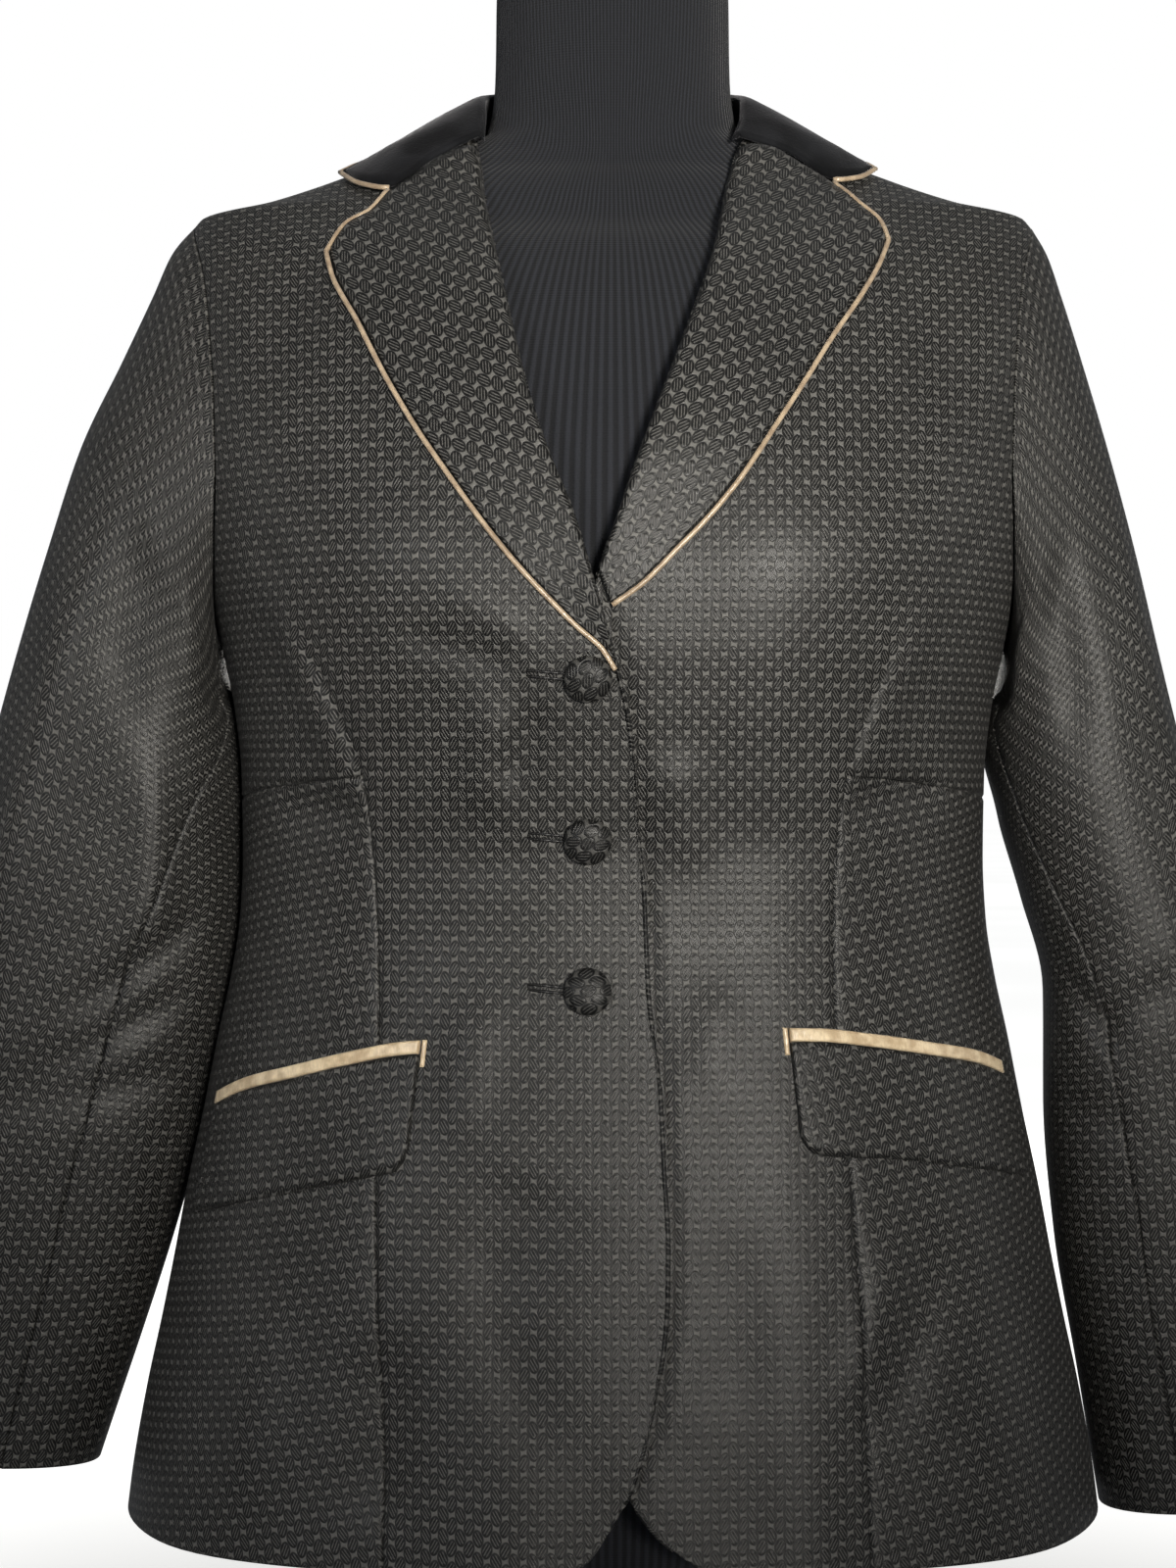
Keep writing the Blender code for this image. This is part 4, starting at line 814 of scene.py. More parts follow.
def crease(aside, along, line_aside, line_along, width, depth):
    """What a crease adds at places given as lengths beside and along from its start.

    The line's own two lengths may differ from place to place. The crease is full in the middle
    and nothing at its ends.
    """
    length = np.hypot(line_aside, line_along)
    share = np.clip((aside * line_aside + along * line_along) / length**2, 0, 1)
    off = (aside * line_along - along * line_aside) / length
    strength = smooth(share / CREASE_TAPER) * smooth((1 - share) / CREASE_TAPER)
    return depth * strength * np.exp(-((off / width) ** 2))


def body_creases(angle, z):
    out = np.zeros(angle.shape)
    radius = ring_radius(BODY, angle, z)
    for face, x0, z0, x1, z1, width, depth in CREASES:
        ends = [float(front_angle(np.array(x), np.array(h))) for x, h in ((x0, z0), (x1, z1))]
        first, last = ends if face == "front" else (-ends[0], -ends[1])
        aside = np.radians(angle_between(angle, math.degrees(first))) * radius
        across = math.radians(angle_between(last, math.degrees(first))) * radius
        near = np.abs(aside) < CREASE_REACH
        out = out + near * crease(aside, z - z0, across, z1 - z0, width, depth)
    return out


def add_mesh(name, verts, faces, made_of, uv=None):
    mesh = bpy.data.meshes.new(name)
    mesh.from_pydata(np.asarray(verts).reshape(-1, 3).tolist(), [], faces)
    mesh.update()
    mesh.polygons.foreach_set("use_smooth", [True] * len(mesh.polygons))
    if uv is not None:
        layer = mesh.uv_layers.new(name="cloth")
        corners = np.zeros(len(mesh.loops), dtype=np.int64)
        mesh.loops.foreach_get("vertex_index", corners)
        layer.data.foreach_set("uv", np.asarray(uv).reshape(-1, 2)[corners].ravel())
    obj = bpy.data.objects.new(name, mesh)
    mesh.materials.append(made_of)
    bpy.context.scene.collection.objects.link(obj)
    return obj


def grid_mesh(name, points, uv, made_of, keep=None, thickness=SHEET):
    """A sheet over a grid of points whose normals face out, thickened inwards."""
    columns, rows = points.shape[:2]
    number = np.arange(columns * rows).reshape(columns, rows)
    quads = np.stack([number[:-1, :-1], number[1:, :-1], number[1:, 1:], number[:-1, 1:]], axis=-1)
    if keep is not None:
        quads = quads[keep]
    quads = quads.reshape(-1, 4)
    used, place = np.unique(quads, return_inverse=True)
    quads = place.reshape(-1, 4).tolist()
    obj = add_mesh(name, points.reshape(-1, 3)[used], quads, made_of, uv.reshape(-1, 2)[used])
    if thickness:
        solid = obj.modifiers.new("thickness", "SOLIDIFY")
        solid.thickness = thickness
        solid.offset = -1.0
    return obj


def turned_edge(points, uv, normals):
    """The grid, as (points, uv), with its first line folded under."""
    away = unit(points[0] - points[1])
    foot = points[0] - away * FOLD_RADIUS
    under = foot - normals * 2 * FOLD_RADIUS
    rows = [under - away * TURN_BACK, under]
    for turn in np.radians(FOLD_TURNS):
        rows.append(foot + (away * math.sin(turn) + normals * (math.cos(turn) - 1)) * FOLD_RADIUS)
    step = unit(uv[0] - uv[1])
    flat = [uv[0] + step * length for length in (TURN_BACK + FOLD_LENGTHS[0], *FOLD_LENGTHS)]
    return np.concatenate([rows, foot[None], points[1:]]), np.concatenate([flat, uv])


def tucked(points, uv, normals, first=(), last=()):
    """The grid with its first or last line on the named axes turned in at a seam."""
    for axis in (0, 1):
        for wanted, side in ((first, 0), (last, -1)):
            if axis not in wanted:
                continue
            rim = np.take(points, [side], axis=axis)
            normal = np.take(normals, [side], axis=axis)
            flat = np.take(uv, [side], axis=axis)
            order = 1 if side == 0 else -1
            points = np.concatenate([rim - normal * SEAM_TURN, points][::order], axis=axis)
            uv = np.concatenate([flat, uv][::order], axis=axis)
            normals = np.concatenate([normal, normals][::order], axis=axis)
    return points, uv, normals


def body_uv(points, z, name, start):
    """The cloth's own place of each point, in metres: along the ring from start, and up."""
    across = lengths_along(points[..., :2]) + start
    middle = points[points.shape[0] // 2]
    up = np.interp(z, middle[:, 2], lengths_along(middle))
    return turned(np.stack([across, up], axis=-1), GRAIN[name])


def turned(uv, deg):
    a = math.radians(deg)
    u = uv[..., 0] * math.cos(a) + uv[..., 1] * math.sin(a)
    v = -uv[..., 0] * math.sin(a) + uv[..., 1] * math.cos(a)
    return np.stack([u, v], axis=-1)


def ride(obj, slot_name, *nodes):
    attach(obj, "root")
    if nodes:
        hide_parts(*nodes)
    return obj


def cloth_sheet(node, points, uv, made_of, keep=None, thickness=SHEET):
    """A panel of the coat's cloth in place of its solid."""
    obj = grid_mesh(f"{node}_cloth", points, uv, made_of, keep, thickness)
    ride(obj, "jacquard_cloth", node)


OVER_EDGE_Z, OVER_EDGE_X = np.array(sorted(OVER_EDGE)).T


def build_fronts(cloth_material):
    dart, bust = np.searchsorted(ROW_PLACES, (DART_ROW, BUST_ROW))
    for name in SIDES:
        left = name == "left"
        angle, z = front_grid(left)
        base = body_point(angle, z)
        out = body_creases(angle, z)
        if not left:
            beyond = base[..., 0] - np.interp(z, OVER_EDGE_Z, OVER_EDGE_X) - LAP_GROOVE_BEYOND
            out = out - lap_drop(base[..., 0], z)
            out = out - LAP_GROOVE * np.exp(-((beyond / LAP_GROOVE_WIDTH) ** 2))
        dip = np.zeros(z.shape)
        below = BUST_ROW - ROW_PLACES[:bust + 1]
        dip[PRINCESS_COLUMN, :bust + 1] = smooth(below / SEAM_FADE_ROWS)
        dip[PRINCESS_COLUMN:, dart] = 1.0
        dip[-1, :] = 1.0
        dip[:, -1] = 1.0
        points = lay(angle, z, out - SEAM_DIP * dip)
        normals = body_normal(angle, z)
        start = (points[0, :, 0] - BUTTON_X) * (-1.0 if left else 1.0)
        side = slice(PRINCESS_COLUMN, None)
        for piece, columns, rows, starts, inner in (
            ("side_front", side, slice(dart + 1), 0.0, (0,)),
            ("front", slice(None), slice(None), start, ()),
        ):
            whole = piece == "front"
            node = f"{piece}_{name}"
            uv = body_uv(base[columns], z[columns], node, starts)[:, rows]
            if left:
                uv = uv * FLIP_ACROSS
            grid, uv, around = with_hem(points[columns, rows], uv, normals[columns, rows], whole)
            grid, uv, _ = tucked(grid, uv, around, first=inner, last=(0, 1))
            keep = np.ones((grid.shape[0] - 1, grid.shape[1] - 1), dtype=bool)
            if whole:
                keep[PRINCESS_COLUMN + EDGE_ROWS:, :dart + EDGE_ROWS] = False
            if left:
                grid, uv, keep = grid[::-1], uv[::-1], keep[::-1]
            cloth_sheet(node, grid, uv, cloth_material, keep)


def with_hem(points, uv, normals, front_edge=False):
    """The grid with its hem folded under, and its front edge too where asked."""
    if front_edge:
        points, uv = turned_edge(points, uv, normals[0])
        normals = np.concatenate([np.repeat(normals[:1], EDGE_ROWS, axis=0), normals])
    flipped, flat = turned_edge(points.transpose(1, 0, 2), uv.transpose(1, 0, 2), normals[:, 0])
    normals = np.concatenate([np.repeat(normals[:, :1], EDGE_ROWS, axis=1), normals], axis=1)
    return flipped.transpose(1, 0, 2), flat.transpose(1, 0, 2), normals


def build_backs(cloth_material):
    for name in SIDES:
        left = name == "left"
        node = f"back_{name}"
        angle, z = back_grid(left)
        dip = np.zeros(z.shape)
        dip[0, :] = 1.0
        dip[-1, :] = 1.0
        dip[:, -1] = 1.0
        points = lay(angle, z, body_creases(angle, z) - SEAM_DIP * dip)
        uv = body_uv(body_point(angle, z), z, node, 0.0)
        grid, uv, normals = with_hem(points, uv, body_normal(angle, z))
        grid, uv, _ = tucked(grid, uv, normals, first=(0,), last=(0, 1))
        if left:
            grid, uv = grid[::-1], uv[::-1] * FLIP_ACROSS
        cloth_sheet(node, grid, uv, cloth_material)


def sleeve_grid(sections, turns, sign):
    rings = [sleeve_ring(section, turns[:, k], sign) for k, section in enumerate(sections)]
    return np.stack(rings, axis=1)


def sleeve_creases(turns, sections, sign):
    """What a sleeve's creases add at a grid of turns and sections."""
    out = np.zeros(turns.shape)
    side = "left" if sign < 0 else "right"
    for name, turn0, at0, turn1, at1, width, depth in SLEEVE_CREASES:
        if name == side:
            aside = np.radians(half_turn(turns - turn0)) * SLEEVE_RADIUS
            along = (sections - at0) * SECTION_LENGTH
            line_aside = math.radians(turn1 - turn0) * SLEEVE_RADIUS
            line_along = (at1 - at0) * SECTION_LENGTH
            out = out + crease(aside, along, line_aside, line_along, width, depth)
    inner = np.exp(-((half_turn(turns - PRESS_TURN) / PRESS_WIDTH_DEG) ** 2))
    for name, at, reach, depth in PRESSED:
        if name == side:
            out = out + depth * np.exp(-(((sections - at) / reach) ** 2)) * inner
    return out


def build_sleeves(cloth_material):
    count = (len(SLEEVES) - 1) * SLEEVE_TIMES
    sections = np.insert(np.linspace(0.0, len(SLEEVES) - 1.0, count + 1), 1, FIRST_SECTION)
    back_seam = SLEEVE["back_seam"](sections)
    for sign, name in zip((-1.0, 1.0), SIDES):
        front_seam = SLEEVE[f"{name}_seam"](sections)
        for piece, starts, stops in (
            ("top", back_seam - 360.0, front_seam),
            ("under", front_seam, back_seam),
        ):
            faces = SLEEVE_FACES[piece]
            near = [NEAR_SLEEVE_SEAM, faces - NEAR_SLEEVE_SEAM]
            shares = np.sort(np.concatenate([np.arange(faces + 1), near])) / faces
            turns = starts + (stops - starts) * shares[:, None]
            outer, ahead, behind = (
                sleeve_grid(sections, turns + turn, sign)
                for turn in (0.0, NORMAL_STEP_DEG, -NORMAL_STEP_DEG)
            )
            normals = unit(np.cross(ahead - behind, np.gradient(outer, axis=1))) * sign
            where = np.repeat(sections[None, :], len(shares), axis=0)
            dip = np.zeros(where.shape)
            dip[0] = 1.0
            dip[-1] = 1.0
            dip[:, 0] = 1.0
            out = sleeve_creases(turns, where, sign) * smooth(where / CREASE_FREE) - SEAM_DIP * dip
            points = outer + normals * out[..., None]
            uv = sleeve_uv(outer, turns, sections, sign)
            points, uv, normals = tucked(points, uv, normals, first=(0, 1), last=(0,))
            points, uv, _ = with_hem(points[:, ::-1], uv[:, ::-1], normals[:, ::-1])
            if sign > 0:
                points, uv = points[::-1], uv[::-1]
            node = f"{piece}_sleeve_{name}"
            cloth_sheet(node, points, uv, cloth_material)


def sleeve_uv(outer, turns, sections, sign):
    """The cloth's own place of each sleeve point: around from the outermost line, and up."""
    across = lengths_along(outer)
    from_top = -turns[0] / (turns[-1] - turns[0]) * across[-1]
    line = np.array([sleeve_ring(s, np.array([LENGTH_TURN]), sign)[0] for s in sections])
    up = np.repeat(-lengths_along(line)[None, :], outer.shape[0], axis=0)
    return np.stack([(across - from_top) * -sign, up], axis=-1)


def lapel_rows(left):
    """Positions across the body of one lapel: x and z, from its foot up."""
    rows = LEFT_LAPEL if left else RIGHT_LAPEL
    across = np.linspace(0.0, 1.0, len(LAPEL_TOP))
    x = [row[0] + (row[2] - row[0]) * across for row in rows]
    z = [row[1] + (row[3] - row[1]) * across for row in rows]
    offset = 0 if left else 2
    x.append(np.array([row[offset] for row in LAPEL_TOP]))
    z.append(np.array([row[offset + 1] for row in LAPEL_TOP]))
    return np.array(x), np.array(z)


def resampled(rows, times):
    """The rows with times - 1 more between each two, on a smooth curve through them."""
    count = len(rows)
    table = [(k, *row) for k, row in enumerate(rows)]
    columns = tuple(range(rows.shape[1] + 1))
    places = np.linspace(0.0, count - 1.0, times * (count - 1) + 1)
    return np.stack([curve_of(table, columns, k)(places) for k in columns[1:]], axis=1)


LAPEL_TIMES = 8


def lapel_grid(left):
    x, z = lapel_rows(left)
    x = resampled(resampled(x, 2), LAPEL_TIMES // 2)
    z = resampled(resampled(z, 2), LAPEL_TIMES // 2)
    x = resampled(x.T, LAPEL_TIMES)
    z = resampled(z.T, LAPEL_TIMES)
    return x, z, np.linspace(0.0, 1.0, x.shape[0])


def build_lapels(cloth_material, shaded_piping_material):
    for name in SIDES:
        left = name == "left"
        node = f"lapel_{name}"
        x, z, across = lapel_grid(left)
        angle = front_angle(x, z)
        drop = 0 * z if left else lap_drop(x, z)
        up = np.linspace(0.0, 1.0, x.shape[1])
        across = across[:, None]
        stand = LAPEL_ROLL * (1 - across) ** ROLL_POWER * smooth(up * ROLL_FADE)
        height = (LIE + CLOTH + stand) * rounded_up(across / ROLL_SHARE) + ROLL_FOOT - drop
        level = rounded_up((1 - across) / RIM_SHARE)
        points = lay(angle, z, height * level + (LIE - drop) * (1 - level))
        uv = turned(np.stack([x, z], axis=-1), GRAIN[node])
        middle = lay(angle, z, LIE + CLOTH / 2 - drop + stand)
        first = GORGE_END * LAPEL_TIMES
        rim, within = (
            np.concatenate([middle[k, :-1], middle[first:, k][::-1]]) for k in (-1, -2)
        )
        pipe = tube(f"piping_{node}_satin", rim, within, shaded_piping_material)
        ride(pipe, "champagne_satin", f"piping_{node}")
        if left:
            points, uv = points[::-1], uv[::-1]
        cloth_sheet(node, points, uv, cloth_material)


PIPE_SIDES = 12


def tube(name, rim, within, made_of, gap=NODE_GAP):
    """A piping along a rim, moved out from it away from the points within."""
    along = unit(np.gradient(rim, axis=0))
    away = rim - within
    away = unit(away - along * (away * along).sum(axis=1, keepdims=True))
    for _ in range(3):
        away[1:-1] = unit(away[:-2] + 2 * away[1:-1] + away[2:])
    centre = rim + away * (PIPING_RADIUS + gap)
    second = np.cross(along, away)
    turn = 2 * math.pi * np.arange(PIPE_SIDES) / PIPE_SIDES
    c, s = np.cos(turn)[:, None], np.sin(turn)[:, None]
    points = centre[:, None] + PIPING_RADIUS * (c * away[:, None] + s * second[:, None])
    return tube_mesh(name, points, lengths_along(centre), made_of)


def ring_faces(rings, sides):
    """Faces of rings of points one after the other, closed at both ends."""
    faces = [tuple(range(sides))[::-1], tuple(range((rings - 1) * sides, rings * sides))]
    for r in range(rings - 1):
        for k in range(sides):
            a = r * sides + k
            b = r * sides + (k + 1) % sides
            faces.append((a, b, b + sides, a + sides))
    return faces


def tube_mesh(name, points, length, made_of):
    """A closed tube of rings of points."""
    rings, sides = points.shape[:2]
    around = np.arange(sides) * (2 * math.pi * PIPING_RADIUS / sides)
    uv = np.stack(np.meshgrid(length, around, indexing="ij"), axis=-1)
    return add_mesh(name, points, ring_faces(rings, sides), made_of, uv)


def collar_section(edge, crease, seam, end=None):
    """Points from the collar's edge up over its crease and down its stand to the neck seam."""
    inward = unit(np.array([-crease[0], -crease[1], 0.0]))
    up = np.array([0.0, 0.0, 1.0])
    bulge = (up * BULGE_UP - inward * BULGE_OUT) * COLLAR_BULGE
    fall = end
    if end is None:
        fall = [edge + (crease - edge) * w + bulge * 4 * w * (1 - w) for w in FALL_SHARES]
    top = crease + inward * STAND_SETBACK * SETBACK_SHARE + up * CREASE_RISE
    turn = crease + inward * STAND_SETBACK - up * CREASE_DROP
    return [*fall, top, turn, (turn + seam) / 2, seam]


def collar_sections():
    """The collar's sections from the left end round the neck to the right end."""
    halves = []
    for sign, columns in ((-1.0, slice(0, 2)), (1.0, slice(2, 4))):
        x, z = np.array([row[columns] for row in COLLAR_END]).T
        points = lay(front_angle(x, z), z, np.full(len(z), COLLAR_LIFT))
        crease = points[-1]
        seam = crease + np.array([-sign, 1.0, 1.0]) * END_SEAM
        half = [collar_section(points[0], crease, seam, points)]
        for row in COLLAR:
            edge = lay(np.radians(row[0]), np.array(row[1]), COLLAR_LIFT)
            section = np.array(collar_section(edge, np.array(row[2:5]), np.array(row[5:])))
            half.append(section * (sign, 1.0, 1.0))
        halves.append(half)
    return np.array(halves[0] + halves[1][-2::-1])


def build_collar(velvet_material, shaded_piping_material):
    coarse = collar_sections()
    fine = np.stack([resampled(coarse[..., k], COLLAR_TIMES) for k in range(3)], axis=-1)
    outer = np.stack([resampled(fine[..., k].T, COLLAR_TIMES).T for k in range(3)], axis=-1)
    middle = outer + grid_normals(outer) * VELVET / 2
    ends = slice(COLLAR_PIPED, 0, -1), slice(1, COLLAR_PIPED + 1)
    rim = np.concatenate([middle[0, ends[0]], middle[:, 0], middle[-1, ends[1]]])
    within = np.concatenate([middle[1, ends[0]], middle[:, 1], middle[-2, ends[1]]])
    pipe = tube("piping_collar_satin", rim, within, shaded_piping_material, 2 * NODE_GAP)
    ride(pipe, "champagne_satin", "piping_collar")
    uv = np.stack([lengths_along(outer, 0), lengths_along(outer, 1)], axis=-1)
    obj = grid_mesh("collar_velvet", outer[::-1], uv[::-1], velvet_material, thickness=VELVET)
    ride(obj, "velvet", "collar")


POCKET_POINTS = 61
WELT_ROWS = 12
FLAP_ROWS = 24
FLAP_SAG = 0.0006  # how much a flap's lower edge waves in and out
SAG_TURNS = 9.0  # of the wave along it, in radians


def build_pockets(cloth_material, satin_material):
    along = np.linspace(0.0, 1.0, POCKET_POINTS)
    for name in SIDES:
        left = name == "left"
        deg, top, bottom = (POCKET[f"{name}_{part}"](along) for part in ("deg", "top", "bottom"))
        angle = np.radians(-180.0 + deg if left else -deg)
        for piece, high, low, rows, thick in (
            ("welt", top, top - WELT_HEIGHT, WELT_ROWS, WELT_THICK),
            ("flap", top - WELT_HEIGHT - NODE_GAP, bottom, FLAP_ROWS, FLAP_THICK),
        ):
            node = f"{piece}_{name}"
            share = np.linspace(0.0, 1.0, rows)
            z = low[:, None] + (high - low)[:, None] * share
            edge = rim_height(z.shape, LIE, LIE + thick, open_top=piece == "flap")
            if piece == "flap":
                sag = FLAP_SAG * np.sin(along * SAG_TURNS)[:, None] * (1 - share)
                edge = edge + sag * (edge > LIE + thick / 2)
            points = lay(np.repeat(angle[:, None], rows, axis=1), z, edge)
            uv = np.stack([lengths_along(points[..., :2]), z], axis=-1)
            uv = turned(uv, GRAIN[f"flap_{name}"])
            if left:
                points, uv = points[::-1], uv[::-1] * FLIP_ACROSS
            if piece == "flap":
                cloth_sheet(node, points, uv, cloth_material, thickness=SMALL_SHEET)
            else:
                obj = grid_mesh(f"{node}_cloth", points, uv, satin_material, thickness=SMALL_SHEET)
                ride(obj, "champagne_satin", node)
        build_tab(left, float(angle[0]), float(top[0]), satin_material)


TAB_WIDTH = 0.0021
TAB_LENGTH = 0.0120
TAB_AHEAD = 0.0003  # of the pocket's front end
TAB_LOW = 0.0001
TAB_HIGH = 0.0012
TAB_GRID = (7, 25)


def build_tab(left, end_angle, top, satin_material):
    """The small upright satin tab in front of a pocket's front end."""
    radius = float(ring_radius(BODY, np.array(end_angle), np.array(top)))
    ahead = np.linspace(TAB_AHEAD, TAB_AHEAD + TAB_WIDTH, TAB_GRID[0])
    turn = ahead / radius if left else -ahead / radius
    up = np.linspace(top - TAB_LENGTH, top, TAB_GRID[1])
    angle, z = np.meshgrid(end_angle + turn, up, indexing="ij")
    points = lay(angle, z, rim_height(angle.shape, TAB_LOW, TAB_HIGH, open_top=False))
    uv = np.stack([np.repeat(ahead[:, None], z.shape[1], axis=1), z], axis=-1)
    if not left:
        points, uv = points[::-1], uv[::-1]
    name = "tab_left_satin" if left else "tab_right_satin"
    obj = grid_mesh(name, points, uv, satin_material, thickness=0.0)
    ride(obj, "champagne_satin")


RIM_POINTS = 2.0  # of the grid, over which a small piece is rounded down


def rim_height(shape, low, high, open_top):
    """Heights of a small flat piece above the panel: level, and rounded down at its rim."""
    columns = np.minimum(np.arange(shape[0]), np.arange(shape[0])[::-1])
    rows = np.arange(shape[1])
    if not open_top:
        rows = np.minimum(rows, rows[::-1])
    near = np.minimum(columns[:, None], rows[None, :])
    return low + (high - low) * rounded_up(near / RIM_POINTS)


# A button from its back to the top: radius and height.
BUTTON_DOME = (
    (0.0060, 0.0002),
    (0.0093, 0.0008),
    (0.0103, 0.0018),
    (0.0105, 0.0027),
    (0.0103, 0.0036),
    (0.0096, 0.0046),
    (0.0084, 0.0055),
    (0.0068, 0.0062),
    (0.0048, 0.0066),
    (0.0026, 0.0068),
    (0.0006, 0.0069),
)
BUTTON_SPOKES = 48
BUTTON_RADIUS = 0.0105
PLEATS = 11
PLEAT_DEPTH = 0.012  # share of the radius
CLOTH_LEAN = 0.5  # how much further the cloth is turned on each button


def build_buttons(cloth_material, thread_material):
    faces = ring_faces(len(BUTTON_DOME), BUTTON_SPOKES)
    for number, (z, lie) in enumerate(BUTTONS, 1):
        angle = front_angle(BUTTON_X, z)
        normal = body_normal(angle, z)
        foot = lay(angle, z, lie)
        side = unit(np.cross(np.array([0.0, 0.0, 1.0]), normal))
        upward = np.cross(normal, side)
        verts = []
        uv = []
        for radius, height in BUTTON_DOME:
            deep = PLEAT_DEPTH * (radius / BUTTON_RADIUS) ** 4
            for turn in 2 * math.pi * np.arange(BUTTON_SPOKES) / BUTTON_SPOKES:
                pleat = 1 + deep * math.sin(PLEATS * turn + number)
                spoke = math.cos(turn) * side + math.sin(turn) * upward
                verts.append(foot + normal * height + spoke * radius * pleat)
                lean = turn + CLOTH_LEAN * number
                uv.append((radius * math.cos(lean), radius * math.sin(lean)))
        obj = add_mesh(f"button_{number}_cover", verts, faces, cloth_material, uv)
        ride(obj, "covered_button_cloth", f"button_{number}")
        build_buttonhole(number, z, thread_material)


HOLE_START_X = -0.0385
HOLE_END_X = -0.0150
HOLE_HALF = 0.0013
HOLE_RISE = 0.0021  # how much higher the hole's outer end lies
HOLE_POINTS = 72
HOLE_POWER = 6.0  # of the superellipse that it follows
HOLE_ENDS = 0.35  # how much of the stitches' width is left at its ends
# The stitches' section: how far out from the slit's line, and how high.
HOLE_PROFILE = (
    (-0.0007, 0.00005),
    (-0.0004, 0.00045),
    (0.0, 0.0006),
    (0.0004, 0.00045),
    (0.0007, 0.00005),
)
HOLE_AROUND = 0.055  # length of the stitching round it
HOLE_ACROSS = 0.002


def build_buttonhole(number, z, thread_material):
    """A worked buttonhole: a narrow ring of stitches around the slit."""
    turns = np.linspace(0.0, 2 * math.pi, HOLE_POINTS, endpoint=False)
    c, s = rounded(turns, HOLE_POWER)
    x = (HOLE_START_X + HOLE_END_X) / 2 + (HOLE_END_X - HOLE_START_X) / 2 * c
    height = z + HOLE_HALF * s + HOLE_RISE * (1 - c) / 2
    rims = []
    for away, out in HOLE_PROFILE:
        high = height + s * away
        spot = front_angle(x + c * HOLE_ENDS * away, high)
        rims.append(lay(spot, high, out + body_creases(spot, height)))
    points = np.array(rims)
    points = np.concatenate([points, points[:, :1]], axis=1)
    across = np.linspace(0.0, HOLE_ACROSS, len(HOLE_PROFILE))
    around = np.linspace(0.0, HOLE_AROUND, points.shape[1])
    uv = np.stack(np.meshgrid(across, around, indexing="ij"), axis=-1)
    obj = grid_mesh(f"buttonhole_{number}", points, uv, thread_material, thickness=0.0)
    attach(obj, "root")


FORM_STEPS = 6
FORM_SPOKES = 120
FORM_WRAP = 0.055  # metres of jersey to a radian


def build_form(jersey_material):
    """The dress form, smoother than its solid and the same size."""
    heights = [row[0] for row in FORM_RINGS]
    z = at(heights, np.linspace(0, len(heights) - 1, (len(heights) - 1) * FORM_STEPS + 1))
    turn = np.linspace(0.0, 2 * math.pi, FORM_SPOKES, endpoint=False)
    high, angle = np.meshgrid(z, turn, indexing="ij")
    radius = ring_radius(FORM, angle, high)
    points = np.stack([radius * np.cos(angle), radius * np.sin(angle), high], axis=-1)
    uv = np.stack([angle * FORM_WRAP, high], axis=-1)
    faces = ring_faces(len(z), FORM_SPOKES)
    obj = add_mesh("dress_form_cover", points, faces, jersey_material, uv)
    ride(obj, "black_jersey", "dress_form")


class Graph:
    """Short calls that add shader nodes and link them."""

    def __init__(self, name):
        self.material = bpy.data.materials.new(name)
        self.material.use_nodes = True
        self.tree = self.material.node_tree
        self.shader = self.tree.nodes["Principled BSDF"]

    def add(self, kind, **settings):
        node = self.tree.nodes.new(kind)
        for key, value in settings.items():
            setattr(node, key, value)
        return node

    def put(self, socket, value):
        if isinstance(value, bpy.types.NodeSocket):
            self.tree.links.new(value, socket)
        elif value is not None:
            socket.default_value = value

    def math(self, operation, a, b=None, clamp=False):
        node = self.add("ShaderNodeMath", operation=operation, use_clamp=clamp)
        for socket, value in zip(node.inputs, (a, b)):
            self.put(socket, value)
        return node.outputs[0]

    def times(self, a, b):
        return self.math("MULTIPLY", a, b)

    def wave(self, place, *turns):
        """A cosine that turns by this many radians to a metre along each axis."""
        return self.math("COSINE", self.vector("DOT_PRODUCT", place, (*turns, 0.0), out=1))

    def vector(self, operation, a, b=None, out=0):
        node = self.add("ShaderNodeVectorMath", operation=operation)
        self.put(node.inputs[0], a)
        self.put(node.inputs[1], b)
        return node.outputs[out]

    def mix(self, factor, a, b, blend="MIX"):
        node = self.add("ShaderNodeMix", data_type="RGBA", blend_type=blend)
        self.put(node.inputs["Factor"], factor)
        self.put(node.inputs[6], a)
        self.put(node.inputs[7], b)
        return node.outputs[2]

    def fit(self, value, low, high, to_low=0.0, to_high=1.0, smoothly=True):
        node = self.add("ShaderNodeMapRange")
        node.interpolation_type = "SMOOTHSTEP" if smoothly else "LINEAR"
        for socket, number in zip(node.inputs, (value, low, high, to_low, to_high)):
            self.put(socket, number)
        return node.outputs[0]

    def noise(self, place, scale, detail=3.0):
        node = self.add("ShaderNodeTexNoise")
        self.put(node.inputs["Vector"], place)
        self.put(node.inputs["Scale"], scale)
        self.put(node.inputs["Detail"], detail)
        return node.outputs["Fac"]

    def uv(self):
        return self.add("ShaderNodeUVMap", uv_map="cloth").outputs[0]

    def place(self):
        return self.add("ShaderNodeTexCoord").outputs["Object"]

    def bump(self, height, strength, distance):
        node = self.add("ShaderNodeBump")
        self.put(node.inputs["Strength"], strength)
        self.put(node.inputs["Distance"], distance)
        self.put(node.inputs["Height"], height)
        return node.outputs[0]

    def finish(self, colour=None, roughness=None, normal=None, **fixed):
        self.put(self.shader.inputs["Base Color"], colour)
        self.put(self.shader.inputs["Roughness"], roughness)
        self.put(self.shader.inputs["Normal"], normal)
        for key, value in fixed.items():
            self.shader.inputs[key.replace("_", " ")].default_value = value
        return self.material


